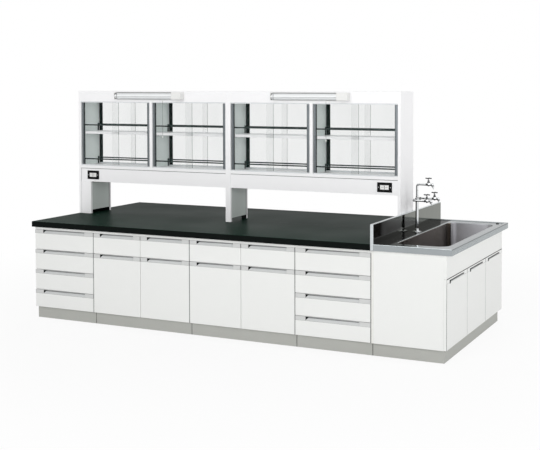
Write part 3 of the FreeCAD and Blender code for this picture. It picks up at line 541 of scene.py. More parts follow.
class Shape:
    """Boards, extruded outlines, turned forms and tubes gathered into one mesh."""

    def __init__(self, placing=None):
        self.whole = bmesh.new()
        self.placing = placing or Matrix.Identity(4)
        self.finishes = []

    def gather(self, part, *finishes, placing=None):
        """Adds one closed part, facing outwards. A face's material index picks its finish."""
        for finish in finishes:
            if finish not in self.finishes:
                self.finishes.append(finish)
        bmesh.ops.recalc_face_normals(part, faces=part.faces)
        for face in part.faces:
            face.material_index = self.finishes.index(finishes[face.material_index])
        part.transform(self.placing @ (placing or Matrix.Identity(4)))
        held = bpy.data.meshes.new("part")
        part.to_mesh(held)
        part.free()
        self.whole.from_mesh(held)
        bpy.data.meshes.remove(held)

    def rounded(self, part, radius, steps):
        """Rounds every sharp edge. Flat faces stay flat and the rounding is smooth."""
        if radius <= 0:
            return
        sharp = [edge for edge in part.edges
                 if edge.is_manifold and edge.calc_face_angle(0.0) > math.radians(30.0)]
        made = bmesh.ops.bevel(part, geom=sharp, offset=radius, offset_type="OFFSET", segments=steps,
                               profile=0.5, affect="EDGES", clamp_overlap=True, material=-1)
        for face in made["faces"]:
            face.smooth = True

    def board(self, x0, x1, y0, y1, z0, z1, finish, radius=0.0008, steps=2):
        """A board between two corners, its edges rounded."""
        part = bmesh.new()
        size = Vector((abs(x1 - x0), abs(y1 - y0), abs(z1 - z0)))
        middle = Vector((x0 + x1, y0 + y1, z0 + z1)) / 2
        scaling = Matrix.Diagonal((*size, 1.0))
        bmesh.ops.create_cube(part, size=1.0, matrix=Matrix.Translation(middle) @ scaling)
        self.rounded(part, min(radius, min(size) * 0.3), steps)
        self.gather(part, finish)

    def strip(self, x0, x1, y0, y1, z0, z1, finish):
        """A board with sharp edges."""
        self.board(x0, x1, y0, y1, z0, z1, finish, 0.0)

    def outline(self, points, along, finish, radius=0.0, steps=2):
        """A flat outline pushed along a vector."""
        part = bmesh.new()
        near = [part.verts.new(point) for point in points]
        far = [part.verts.new(Vector(point) + Vector(along)) for point in points]
        part.faces.new(near)
        part.faces.new(far[::-1])
        for i in range(len(points)):
            j = (i + 1) % len(points)
            part.faces.new((near[j], near[i], far[i], far[j]))
        bmesh.ops.recalc_face_normals(part, faces=part.faces)
        self.rounded(part, radius, steps)
        self.gather(part, finish)

    def loft(self, rings, finish, closed=True, crease=35.0, placing=None):
        """A skin over rings of points that all have the same count, with faces at its ends."""
        part = bmesh.new()
        rows = [[part.verts.new(point) for point in ring] for ring in rings]
        count = len(rows[0])
        for lower, upper in zip(rows[:-1], rows[1:]):
            for i in range(count):
                j = (i + 1) % count
                part.faces.new((lower[i], lower[j], upper[j], upper[i]))
        if closed:
            part.faces.new(rows[0][::-1])
            part.faces.new(rows[-1])
        bmesh.ops.remove_doubles(part, verts=part.verts, dist=0.0000001)
        for face in part.faces:
            face.smooth = True
        bmesh.ops.recalc_face_normals(part, faces=part.faces)
        for edge in part.edges:
            if edge.is_manifold and edge.calc_face_angle(0.0) > math.radians(crease):
                edge.smooth = False
        self.gather(part, finish, placing=placing)

    def turned(self, profile, centre, axis, finish, sides=32, crease=35.0):
        """(radius, height) pairs in millimetres turned about an axis, with closed ends
        unless the pairs come round again."""
        aim = Vector(axis).to_track_quat("Z", "Y").to_matrix().to_4x4()
        rings = [[(radius / 1000 * math.cos(turn), radius / 1000 * math.sin(turn), height / 1000)
                  for turn in turns(sides)] for radius, height in profile]
        placing = Matrix.Translation(Vector(centre)) @ aim
        self.loft(rings, finish, profile[0] != profile[-1], crease, placing)

    def tube(self, points, radius, finish, sides=24):
        """A round bar along a line of points."""
        line = [Vector(point) for point in points]
        rings = []
        side = None
        for i, point in enumerate(line):
            ahead = (line[min(i + 1, len(line) - 1)] - line[max(i - 1, 0)]).normalized()
            side = side or ahead.orthogonal().normalized()
            side = (side - ahead * side.dot(ahead)).normalized()
            other = ahead.cross(side)
            rings.append([point + radius * (math.cos(turn) * side + math.sin(turn) * other)
                          for turn in turns(sides)])
        self.loft(rings, finish, crease=50.0)

    def piece(self, name, body, nodes=(), even=False):
        """Turns what was gathered into an object that rides on a body and stands for its nodes."""
        mesh = bpy.data.meshes.new(name)
        self.whole.to_mesh(mesh)
        self.whole.free()
        for finish in self.finishes:
            mesh.materials.append(finish_of(finish))
        made = bpy.data.objects.new(name, mesh)
        bpy.context.scene.collection.objects.link(made)
        if even:
            evened(made)
        return dressed(made, body, nodes)


def plain_mesh(made):
    """The mesh of an object with its modifiers applied."""
    bpy.context.view_layer.update()
    depsgraph = bpy.context.evaluated_depsgraph_get()
    return bpy.data.meshes.new_from_object(made.evaluated_get(depsgraph), depsgraph=depsgraph)


def evened(made):
    """Lets large flat faces set the shading where they meet small rounded ones."""
    modifier = made.modifiers.new("Even shading", "WEIGHTED_NORMAL")
    modifier.keep_sharp = True
    rough = made.data
    made.data = plain_mesh(made)
    made.modifiers.remove(modifier)
    bpy.data.meshes.remove(rough)
    made.data.name = made.name


def dressed(made, body, nodes=()):
    """Sets a finished piece on its body, in place of its nodes."""
    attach(made, body)
    if nodes:
        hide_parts(*nodes)
    return made


# ---- Fittings that repeat, set out by Geometry Nodes ----

def new_tree(name, inputs):
    """A geometry tree with named inputs: its graph, its inputs by name and their identifiers."""
    tree = bpy.data.node_groups.new(name, "GeometryNodeTree")
    face = tree.interface
    face.new_socket("Geometry", in_out="INPUT", socket_type="NodeSocketGeometry")
    ids = {label: face.new_socket(label, in_out="INPUT", socket_type="NodeSocket" + kind).identifier
           for label, kind in inputs.items()}
    face.new_socket("Geometry", in_out="OUTPUT", socket_type="NodeSocketGeometry")
    entry = tree.nodes.new("NodeGroupInput")
    graph = Graph(tree)
    return graph, {out.name: Value(graph, out) for out in entry.outputs if out.name}, ids


def end_tree(graph, geometry, finish):
    """Ends a tree in real geometry with its finish."""
    real = graph.node("GeometryNodeRealizeInstances", {0: geometry})
    painted = graph.node("GeometryNodeSetMaterial", {"Geometry": real, "Material": finish})
    graph.node("NodeGroupOutput", {0: painted})


def fittings_tree():
    """A fitting at every point, turned by the angles kept with the point."""
    graph, values, ids = new_tree("Fittings at points", {
        "Fitting": "Object", "Size": "Float", "Finish": "Material"})
    angles = graph.node("GeometryNodeInputNamedAttribute", {"Name": "turn"}, data_type="FLOAT_VECTOR")
    shape = graph.node("GeometryNodeObjectInfo", {"Object": values["Fitting"]}, "Geometry")
    placed = graph.node("GeometryNodeInstanceOnPoints", {
        "Points": values["Geometry"], "Instance": shape, "Scale": values["Size"],
        "Rotation": graph.node("FunctionNodeEulerToRotation", {0: angles})})
    end_tree(graph, placed, values["Finish"])
    return graph.tree, ids


def bars_tree():
    """A round bar with closed ends along every edge."""
    graph, values, ids = new_tree("Bars along edges", {
        "Radius": "Float", "Sides": "Int", "Finish": "Material"})
    line = graph.node("GeometryNodeMeshToCurve", {"Mesh": values["Geometry"]})
    ring = graph.node("GeometryNodeCurvePrimitiveCircle", {
        "Resolution": values["Sides"], "Radius": values["Radius"]})
    bars = graph.node("GeometryNodeCurveToMesh", {
        "Curve": line, "Profile Curve": ring, "Fill Caps": True})
    end_tree(graph, bars, values["Finish"])
    return graph.tree, ids


def grown(name, points, edges, tree, ids, inputs, angles=()):
    """Runs a tree over points or edges and returns its result as a plain object."""
    mesh = bpy.data.meshes.new(name)
    mesh.from_pydata([tuple(point) for point in points], edges, [])
    if angles:
        held = mesh.attributes.new("turn", "FLOAT_VECTOR", "POINT")
        held.data.foreach_set("vector", [angle for turn in angles for angle in turn])
    seed = bpy.data.objects.new(name + "_seed", mesh)
    bpy.context.scene.collection.objects.link(seed)
    modifier = seed.modifiers.new("Fittings", "NODES")
    modifier.node_group = tree
    for label, value in inputs.items():
        modifier[ids[label]] = value
    seed.update_tag()
    result = plain_mesh(seed)
    result.name = name
    seed.modifiers.remove(modifier)
    bpy.data.objects.remove(seed)
    made = bpy.data.objects.new(name, result)
    bpy.context.scene.collection.objects.link(made)
    return made


def fitted(name, shape, places, finish, nodes):
    """Sets one fitting at every (point, angles) place and rides the result on the bench."""
    template = bpy.data.objects.new(name + "_one", bpy.data.meshes.new(name + "_one"))
    shape.whole.to_mesh(template.data)
    shape.whole.free()
    bpy.context.scene.collection.objects.link(template)
    inputs = {"Fitting": template, "Size": 1.0, "Finish": finish_of(finish)}
    points, angles = [point for point, _ in places], [turn for _, turn in places]
    made = grown(name, points, [], *fittings_tree(), inputs, angles)
    bpy.data.objects.remove(template)
    return dressed(made, BENCH, nodes)


def peg_shape():
    """A shelf peg, pointing along X."""
    peg = Shape()
    peg.turned(capped((3, 0), (3, 9.2), (2.4, 10)), (0, 0, 0), X, "fitting", 14)
    return peg


# ---- The faces of the bench ----

class Face:
    """One face of the bench, with u to the right along it, d inwards from it and z up."""

    def __init__(self, origin, degrees, units=()):
        self.turn = math.radians(degrees)
        self.matrix = Matrix.Translation(origin) @ Matrix.Rotation(self.turn, 4, "Z")
        self.units = units

    def extent(self, node):
        """Where a node lies along the face: u0, u1, z0, z1."""
        low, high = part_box(node)
        back = self.matrix.inverted()
        first, second = back @ low, back @ high
        return min(first.x, second.x), max(first.x, second.x), low.z, high.z

    def place(self, u, d, z, flipped=False):
        """A point on this face with the angles of a fitting there."""
        return self.matrix @ Vector((u, d, z)), (0.0, math.pi if flipped else 0.0, self.turn)


UNITS = list(zip(UNIT_EDGES[:-1], UNIT_EDGES[1:], UNIT_KINDS))
FACES = {
    "front": Face((CASE_LEFT, -FACE_Y, 0), 0, [
        (start - CASE_LEFT, end - CASE_LEFT, kind) for start, end, kind in UNITS]),
    "rear": Face((JOIN_X, FACE_Y, 0), 180, sorted(
        (JOIN_X - end, JOIN_X - start, kind) for start, end, kind in UNITS)),
    "end": Face((CASE_RIGHT, -FACE_Y, 0), 90),
}


def fronts(kind):
    """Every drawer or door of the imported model, with its face and where it lies on it."""
    for node in sorted(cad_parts):
        name = node.split("_")[0]
        if name in FACES and kind in node:
            yield node, FACES[name], *FACES[name].extent(node)


def clear_span(node, u0, u1):
    """Start and end of the clear opening behind a front, between the boards at its sides."""
    full, half, corner = (thick - GAP / 2 for thick in (BOARD, BOARD / 2, FRONT))
    if node.startswith("end"):
        left = corner if node.endswith("1") else half
        right = corner if node.endswith(str(END_DOORS)) else half
    else:
        left = half if "_right_" in node else full
        right = half if "_left_" in node else full
    return u0 + left, u1 - right


def hinge_side(node, u0, u1):
    """Where a door's hinges sit in its clear opening, and the way inwards from there."""
    clear0, clear1 = clear_span(node, u0, u1)
    return (clear0, 1) if "left" in node or node == "end_door1" else (clear1, -1)


def seams_of(face, u0, u1):
    """The sides at which a front meets another unit."""
    sides = []
    for start, end, _ in face.units:
        if abs(u0 - start) < 2 * GAP and start > GAP:
            sides.append("left")
        if abs(u1 - end) < 2 * GAP:
            if end < JOIN_X - CASE_LEFT - GAP:
                sides.append("right")
            elif face is FACES["front"]:
                sides.append("sink")
    return sides


def add_pull(shape, u0, u1, top, sizes, at_end):
    """The line pull: a finger lip over a slanted scoop, with painted shadow in the scoop: a darker
    upper part under the lip and a black cap at its near end.
    """
    # the end doors' scoops are painted darker over almost their whole height, with a longer black cap
    if at_end:
        lip, rise, cap = top - sizes.end_lip, 0.5 * sizes.scoop_height, 2.2 * sizes.scoop_shadow_cap
        line, far_shade_line, body, tone = 0.05, 0.05, "front", "seam"
    else:
        lip, rise, cap = top - sizes.pull_lip, sizes.scoop_height, sizes.scoop_shadow_cap
        line, far_shade_line, body, tone = sizes.scoop_line, 0.7, "pull", "recess"
    base, low, depth = top - sizes.pull_height, lip - rise, sizes.scoop_depth
    first, last = (u0 + share * (u1 - u0) for share in (sizes.scoop_start, sizes.scoop_end))
    part = bmesh.new()
    flat = ((0, base), (0, low), (0, lip), (0, top), (FRONT, top), (FRONT, base))
    rows = [[part.verts.new((u, d, z)) for d, z in flat] for u in (u0, first, last, u1)]
    for span in range(3):
        near, far = rows[span], rows[span + 1]
        for i in range(6):
            j = (i + 1) % 6
            open_scoop = span == 1 and i == 1
            if not open_scoop:
                part.faces.new((near[i], near[j], far[j], far[i]))
    part.faces.new(rows[0])
    part.faces.new(rows[3][::-1])
    corner, inner, far_corner = [
        part.verts.new((u, depth, lip)) for u in (first, first + cap, last)]
    half, far_half = [part.verts.new((u, depth * share, low + rise * share))
                      for u, share in ((first + cap * line, line), (last, far_shade_line))]
    near_low, near_lip, far_low, far_lip = rows[1][1], rows[1][2], rows[2][1], rows[2][2]
    # painted shadow: the scoop's upper faces take the darker tone and its near-end cap black
    own, upper, dark, floor = range(4)
    for finish, points in (
            (own, (near_lip, corner, inner, far_corner, far_lip)),
            (floor, (near_low, half, far_half, far_low)),
            (upper, (half, inner, far_corner, far_half)),
            (dark, (near_low, corner, inner, half)),
            (dark, (near_low, near_lip, corner)),
            (own, (far_low, far_half, far_corner, far_lip))):
        part.faces.new(points).material_index = finish
    bmesh.ops.recalc_face_normals(part, faces=part.faces)
    shape.rounded(part, sizes.edge, 2)
    shape.gather(part, body, tone, "seal", "scoop")


def add_front(shape, node, face, span, sizes):
    """A drawer or door front with its pull, and grey edging of painted gap shade where it meets
    another unit, black beside the sink.
    """
    u0, u1, z0, z1 = span
    base = z1 - sizes.pull_height
    mark = sizes.edging
    for u in (u0, u1 - mark):
        shape.strip(u, u + mark, -PROUD, INLAY, base, z1 - mark, "seam")
    # painted shade: edging that darkens the gaps where units meet, black beside the sink
    for side in seams_of(face, u0, u1):
        finish, width = ("seal", SINK_SEAM * mark) if side == "sink" else ("joint", mark)
        start = u0 if side == "left" else u1 - width
        shape.board(start, start + width, 0, FRONT, z0, base, finish, 0.0005)
        if side == "left":
            u0 += width
        else:
            u1 -= width
    shape.board(u0, u1, 0, FRONT, z0, base, "front", sizes.front_edge, 3)
    at_end = node.startswith("end")
    add_pull(shape, u0, u1, z1, sizes, at_end)
    if at_end:
        # painted shade on the end doors: a black line along the top edge, a grey line at the left
        # edge (black at the corner) and a black mark at the near end of the scoop
        shape.strip(u0, u1, -PROUD, INLAY, z1 - END_LINE, z1, "seal")
        inset, finish = (0, "seal") if node == "end_door1" else (END_SEAM[0], "seam")
        shape.strip(u0 + inset, u0 + END_SEAM[1], -PROUD, INLAY, z0, base, finish)
        near = u0 + sizes.scoop_start * (u1 - u0)
        under = z1 - sizes.end_lip - INLAY
        shape.strip(near, near + END_MARK[0], -PROUD, INLAY, under - END_MARK[1], under, "seal")
    shape.strip(u0 + 0.001, u1 - 0.001, -0.0002, INLAY, base - 0.0008, base + 0.0008, "joint")


def add_drawer_box(shape, clear0, clear1, z0, z1, sizes):
    """The box behind a drawer front, with its slide rails."""
    low, high = z0 + BOX_RISE, z1 - BOX_DROP
    left, right = clear0 + RUNNER_SPACE, clear1 - RUNNER_SPACE
    inner0, inner1 = left + BOX_BOARD, right - BOX_BOARD
    back = sizes.box_depth + FRONT
    for u0, u1, d0 in ((left, inner0, FRONT), (inner1, right, FRONT),
                       (inner0, inner1, back - BOX_BOARD)):
        shape.board(u0, u1, d0, back, low, high, "board", 0.0012)
    shape.strip(inner0, inner1, FRONT, back - BOX_BOARD, low, low + BOX_BOTTOM, "board")
    wall = RUNNER_WALL + SEAT
    rail_low = low + RUNNER_RISE + wall
    rail_high = rail_low + RUNNER_HEIGHT - 2 * wall
    for outer, edge in ((clear0 + wall, left), (clear1 - wall, right)):
        shape.board(outer, edge, RUNNER_SETBACK, RUNNER_SETBACK + RAIL_LENGTH,
                    rail_low, rail_high, "fitting", 0.0018, 3)


def add_hinge_cups(shape, clear, inward, z0, z1):
    """The bosses of a door's two concealed hinges: a flanged plate, a round cup and two screws."""
    start = clear + inward * SEAT
    middle = start + inward * BOSS_WIDE / 2
    cup = capped((17.5, 0), (17.5, 2), (16.2, 2.5))
    screw = capped((3.5, 0), (3.5, 1.5), (2, 2))
    for level in (z0 + HINGE_INSET, z1 - HINGE_INSET):
        shape.board(start, start + inward * BOSS_WIDE, FRONT, FRONT + BOSS_DEPTH / 2,
                    level - BOSS_TALL / 2, level + BOSS_TALL / 2, "fitting", 0.0004)
        shape.turned(cup, (middle, FRONT, level), Y, "fitting", 28)
        for offset in (-0.0205, 0.0205):
            shape.turned(screw, (middle, FRONT, level + offset), Y, "fitting", 12)


# ---- Sizes, colours and light that can be changed ----

def length(name, text, value):
    return bpy.props.FloatProperty(
        name=name, description=text, default=value, min=0.0, unit="LENGTH", precision=4)


def portion(name, text, value, low, high):
    return bpy.props.FloatProperty(
        name=name, description=text, default=value, min=low, max=high, subtype="FACTOR")


def power(name, text, value):
    return bpy.props.FloatProperty(
        name=name, description=text, default=value, min=0.0, max=2000.0, unit="POWER")


def colour(name, text, *screen):
    return bpy.props.FloatVectorProperty(
        name=name, description=text, size=3, min=0.0, max=1.0, subtype="COLOR",
        default=linear(*screen))


class BenchSizes(bpy.types.PropertyGroup):
    """Sizes of the visible details."""
    edge: length("Small edge", "Rounding of edge strips and pulls", 0.0008)
    front_edge: length("Front edge", "Rounding of the edges of drawer and door fronts", 0.0014)
    board_edge: length("Board edge", "Rounding of cabinet and rack boards", 0.0009)
    pull_height: length("Pull height", "Height of the line pull along each front", 0.031)
    pull_lip: length("Pull lip", "Thickness of the lip over the scoop", 0.002)
    end_lip: length("End lip", "Thickness of the lip over the scoops of the end doors", 0.0144)
    scoop_height: length("Scoop height", "Height of the finger scoop", 0.0265)
    scoop_depth: length("Scoop depth", "Depth of the finger scoop", 0.015)
    scoop_start: portion(
        "Scoop start", "Where the scoop starts, as a share of the front's width", 0.14, 0.0, 0.5)
    scoop_end: portion(
        "Scoop end", "Where the scoop ends, as a share of the front's width", 0.855, 0.5, 1.0)
    # the scoop's dark cap and its darker upper part are painted shadow
    scoop_shadow_cap: length("Scoop cap", "Length of the dark cap at the scoop's start", 0.026)
    scoop_line: portion(
        "Scoop line", "Where the darker upper part of the scoop starts, as a share of its height",
        0.6, 0.05, 0.95)
    # the edging is painted shade of the gaps between units
    edging: length("Edging", "Width of the grey edging where units meet", 0.0016)
    box_depth: length("Drawer box depth", "Depth of a drawer's box behind its front", 0.5)
    worktop_edge: length("Worktop edge", "Rounding of the worktop's long edges", 0.0025)
    rim_width: length("Rim width", "Width of the raised edge round the sink deck", 0.024)
    basin_depth: length("Basin depth", "Depth of the basin under the deck", 0.25)
    basin_corner: length("Basin corner", "Radius of the basin's upright corners", 0.07)
    glass: length("Glass thickness", "Thickness of the sliding panes", 0.005)
    stile: length("Stile width", "Width of the aluminium stile on each pane", 0.02)
    bar: length("Rail radius", "Radius of the guard rail bars", 0.0055)
    cord: length("Cord diameter", "Diameter of the lamp cords", 0.002)


class BenchColours(bpy.types.PropertyGroup):
    """Colours of the finishes."""
    front: colour("Fronts", "Drawer and door fronts", 236, 237, 235)
    board: colour("Cabinet boards", "Boards inside the cabinets", 233, 233, 229)
    rack: colour("Rack boards", "Boards of the reagent rack", 253, 253, 254)
    pull: colour("Pulls", "Line pulls", 207, 208, 207)
    # painted shadow: the darker upper part of the finger scoops
    recess: colour("Scoops", "Upper part of the finger scoops", 138, 140, 140)
    scoop: colour("Scoop floors", "Lower part of the finger scoops", 204, 206, 206)
    # mostly painted shade: grey strips in the gaps between units, on the end doors' scoops and
    # joints, along the lamps' joints, under the rack's bottom boards and under the sink deck's rim
    seam: colour("Seams", "Seams and edging where units meet", 92, 94, 94)
    # the edging where units meet is painted gap shade; the line over each pull is a real joint
    joint: colour("Fine joints", "Fine joints between parts of one board", 150, 152, 152)
    # painted shade: the leg plates are a grey copy of the white board, for the shade under the rack
    leg: colour("Leg plates", "Plates on the inner sides of the rack's legs", 208, 216, 212)
    # besides real seals and joints, black painted shadow: the scoop caps, lines and marks on the end
    # doors, the edging beside the sink, and strips in the gap beside the sink end and under the
    # rack's leg plates
    seal: colour("Seals", "Glazing seals and scoop caps", 16, 17, 18)
    plinth: colour("Plinth", "Kickboards", 178, 179, 174)
    worktop: colour("Worktop edge", "Edges of the cast worktop", 20, 23, 22)
    # painted sheen: the upper face is lighter and greener than the edges
    worktop_top: colour("Worktop", "Upper face of the cast worktop", 19, 39, 31)
    deck: colour("Sink deck", "Pressed sink deck", 165, 171, 173)
    edge_steel: colour("Guard edge", "Outer faces and edges of the guard", 206, 211, 213)
    end_steel: colour("Deck end", "Upright face at the deck's end", 152, 159, 161)
    # painted reflection: the basin's long walls take a darker, browner copy of its steel than its
    # floor and short walls
    basin: colour("Basin ends", "Floor and short walls of the basin", 168, 168, 172)
    basin_side: colour("Basin sides", "Long walls of the basin", 114, 105, 95)
    guard: colour("Guard", "Upright guard beside the sink", 103, 106, 99)
    fitting: colour("Fittings", "Runners, hinges and pegs", 170, 172, 175)
    bar: colour("Rails", "Guard rails of the rack", 56, 62, 62)
    track: colour("Tracks", "Tracks of the sliding glass", 222, 225, 227)
    stile: colour("Stiles", "Stiles of the sliding glass", 110, 115, 118)
    chrome: colour("Faucet", "Three-way faucet", 226, 228, 229)
    plate: colour("Outlet plates", "Plates of the power outlets", 12, 13, 14)
    plastic: colour("White plastic", "Lamps and socket inserts", 238, 238, 236)
    diffuser: colour("Diffusers", "Diffusers of the lamps", 250, 252, 253)
    rubber: colour("Slots", "Slots and holes", 40, 42, 42)
    glass: colour("Glass", "Cast of the sheet glass", 62, 98, 90)
    cord: colour("Cords", "Pull cords", 84, 86, 85)


class BenchLight(bpy.types.PropertyGroup):
    """Levels of the studio light."""
    sky: portion("Sky level", "Even light from all round", 0.42, 0.0, 2.0)
    key: power("Key light", "Power of the large lamp in front on the left", 224.0)
    fill: power("Fill light", "Power of the large lamp in front on the right", 190.0)
    side: power("Side light", "Power of the lamp on the right", 160.0)
    back: power("Back light", "Power of the lamp behind on the left", 220.0)


# ---- Fronts and cabinets ----

class BENCH_OT_drawers(bpy.types.Operator):
    """Drawers with their line pulls, boxes and slide rails"""
    bl_idname = "bench.drawers"
    bl_label = "Drawers"
    bl_options = {"REGISTER", "UNDO"}

    def execute(self, context):
        sizes = context.scene.bench_sizes
        for node, face, u0, u1, z0, z1 in fronts("drawer"):
            shape = Shape(face.matrix)
            add_front(shape, node, face, (u0, u1, z0, z1), sizes)
            add_drawer_box(shape, *clear_span(node, u0, u1), z0, z1, sizes)
            shape.piece(node + "_dressed", node, (node,))
        return {"FINISHED"}


class BENCH_OT_doors(bpy.types.Operator):
    """Cupboard and sink doors with their line pulls and hinge cups"""
    bl_idname = "bench.doors"
    bl_label = "Doors"
    bl_options = {"REGISTER", "UNDO"}

    def execute(self, context):
        for node, face, u0, u1, z0, z1 in fronts("door"):
            shape = Shape(face.matrix)
            add_front(shape, node, face, (u0, u1, z0, z1), context.scene.bench_sizes)
            add_hinge_cups(shape, *hinge_side(node, u0, u1), z0, z1)
            shape.piece(node + "_dressed", node, (node,))
        return {"FINISHED"}


def add_unit(shape, face, unit, edge, pegs):
    """One cabinet of a long side."""
    start, end, kind = unit
    in0, in1 = start + BOARD, end - BOARD
    behind = FRONT + SEAT
    back = INNER - BACK_BOARD
    floor = CASE_LOW + BOARD
    for u in (start, in1):
        shape.board(u, u + BOARD, behind, INNER, CASE_LOW, CASE_TOP, "board", edge)
    shape.board(in0, in1, behind, INNER, CASE_LOW, floor, "board", edge)
    shape.strip(in0, in1, back, INNER, floor, CASE_TOP, "board")
    shape.board(start, end, 0, behind, TIERS_TOP, CASE_TOP, "front", edge)
    # painted shade: a grey strip in the gap between units
    if start > GAP:
        shape.strip(start - UNIT_SEAM, start + UNIT_SEAM, INLAY, FRONT, CASE_LOW, TIERS_TOP, "seam")
    shape.board(in0, in1, behind, STRETCHER, TIERS_TOP, CASE_TOP, "board", edge)
    if kind == "drawers":
        return
    middle = (start + end) / 2
    half = BOARD / 2
    divide = TIERS_TOP - TIER
    shape.board(in0, in1, behind, back, divide - half, divide + half, "board", edge)
    shape.board(middle - half, middle + half, behind, back, divide + half, TIERS_TOP, "board", edge)
    level = (floor + divide) / 2
    d0, d1 = behind + SHELF_SETBACK, back - SEAT
    shape.board(in0 + SHELF_END_GAP, in1 - SHELF_END_GAP, d0, d1, level, level + BOARD, "board", edge)
    for d in (d0 + PEG_INSET, d1 - PEG_INSET):
        pegs.append(face.place(in0, d, level - PEG_RADIUS))
        pegs.append(face.place(in1, d, level - PEG_RADIUS, True))


def add_sink_cabinet(shape, sizes):
    """The panels, posts and floor of the sink cabinet and the boards that carry the deck."""
    def board(x0, x1, y0, y1, z0, z1, finish="board"):
        shape.board(x0, x1, y0, y1, z0, z1, finish, sizes.board_edge)

    door_back = CASE_RIGHT - FRONT - SEAT
    inner_y = FACE_Y - FRONT
    floor = CASE_LOW + BOARD
    door_top = CASE_TOP - FASCIA
    post_top = DECK - sizes.basin_depth - BASIN_CLEAR
    board(JOIN_X, JOIN_X + BOARD, -FACE_Y, FACE_Y, CASE_LOW, CASE_TOP)
    board(JOIN_X + BOARD + WASTE_GAP, door_back, -inner_y, inner_y, CASE_LOW, floor)
    board(door_back, CASE_RIGHT, -FACE_Y, FACE_Y, door_top, CASE_TOP, "front")
    board(door_back - BACK_BOARD, door_back, -inner_y, inner_y, door_top, CASE_TOP)
    for s in SIDES:
        board(JOIN_X + BOARD, door_back, s * FACE_Y, s * inner_y, CASE_LOW, CASE_TOP, "front")
        # painted shade: a black strip in the gap between the long cabinets and the sink end
        shape.strip(JOIN_X - 0.0013, JOIN_X, s * (FACE_Y - INLAY), s * inner_y,
                    CASE_LOW, TIERS_TOP, "seal")
        board(CASE_LEFT, CASE_LEFT + BOARD, s * 0.001, s * VOID_HALF, CASE_LOW, CASE_TOP)
    for i in range(1, END_DOORS):
        y = -FACE_Y + i * 2 * FACE_Y / END_DOORS - BOARD / 2
        board(door_back - STRETCHER, door_back, y, y + BOARD, floor, post_top)
        board(door_back - BACK_BOARD, door_back, y, y + BOARD, post_top, door_top)
    hole_y = BASIN_HALF + BASIN_CLEAR
    x0, x1 = JOIN_X + GUARD, RIGHT_X - 0.002
    low, high = CASE_TOP, DECK - 0.002
    board(BASIN_RIGHT + BASIN_CLEAR, x1, -hole_y, hole_y, low, high)
    for s in SIDES:
        board(x0, x1, s * hole_y, s * (HALF_DEPTH - 0.002), low, high)
        board(x0, BASIN_LEFT - BASIN_CLEAR, s * 0.03, s * hole_y, low, high)


def runner_shape():
    """A runner channel, open towards +X, with its middle at the origin."""
    side, wall, flange = RUNNER_HEIGHT / 2, RUNNER_WALL, RUNNER_FLANGE
    flat = ((0, -side), (flange, -side), (flange, wall - side), (wall, wall - side),
            (wall, side - wall), (flange, side - wall), (flange, side), (0, side))
    shape = Shape()
    points = [(x, -RUNNER_LENGTH / 2, z) for x, z in flat]
    shape.outline(points, (0, RUNNER_LENGTH, 0), "fitting", 0.0003, 1)
    return shape


def arm_shape():
    """A hinge arm on its two-step plate, with its screws."""
    step, far, top = PLATE_THICK * 0.4, ARM_REACH + PLATE_LENGTH, PLATE_THICK + ARM_WIDE
    shape = Shape()
    for x0, x1, y0, tall, rounding in (
            (0, step, ARM_REACH, PLATE_TALL, (0.0008, 2)),
            (step, PLATE_THICK, ARM_REACH, ARM_TALL, (0.0008, 2)),
            (PLATE_THICK, top, 0, ARM_TALL, (0.002, 3))):
        shape.board(x0, x1, y0, far, -tall / 2, tall / 2, "fitting", *rounding)
    for y in (ARM_REACH * 0.55, ARM_REACH + PLATE_LENGTH * 0.62):
        shape.turned(capped((4.2, 0), (4.2, 0.8), (3, 1.2)), (top - 0.0004, y, 0), X, "fitting", 14)
    for s in SIDES:
        shape.turned(capped((3.5, 0), (3.5, 0.8), (2.2, 1.6)),
                     (step, ARM_REACH + PLATE_LENGTH / 2, s * PLATE_TALL * 0.34), X, "fitting", 14)
    return shape


class BENCH_OT_cabinets(bpy.types.Operator):
    """Cabinet boards, shelves, runner channels, hinge arms and shelf pegs"""
    bl_idname = "bench.cabinets"
    bl_label = "Cabinets"
    bl_options = {"REGISTER", "UNDO"}

    def execute(self, context):
        sizes = context.scene.bench_sizes
        nodes = ("base_cabinets",)
        pegs, runners, arms = [], [], []
        for name in ("front", "rear"):
            shape = Shape(FACES[name].matrix)
            for unit in FACES[name].units:
                add_unit(shape, FACES[name], unit, sizes.board_edge, pegs)
            shape.piece("cabinet_boards_" + name, BENCH, nodes)
        shape = Shape()
        add_sink_cabinet(shape, sizes)
        shape.piece("cabinet_boards_sink_end", BENCH, nodes)
        for node, face, u0, u1, z0, z1 in fronts("drawer"):
            level = z0 + BOX_RISE + RUNNER_RISE + RUNNER_HEIGHT / 2
            for clear, flipped in zip(clear_span(node, u0, u1), (False, True)):
                runners.append(face.place(clear, RUNNER_SETBACK + RUNNER_LENGTH / 2, level, flipped))
        for node, face, u0, u1, z0, z1 in fronts("door"):
            clear, inward = hinge_side(node, u0, u1)
            for level in (z0 + HINGE_INSET, z1 - HINGE_INSET):
                arms.append(face.place(clear, FRONT + BOSS_DEPTH + SEAT, level, inward < 0))
        fitted("runner_channels", runner_shape(), runners, "fitting", nodes)
        fitted("hinge_arms", arm_shape(), arms, "fitting", nodes)
        fitted("shelf_pegs", peg_shape(), pegs, "fitting", nodes)
        return {"FINISHED"}


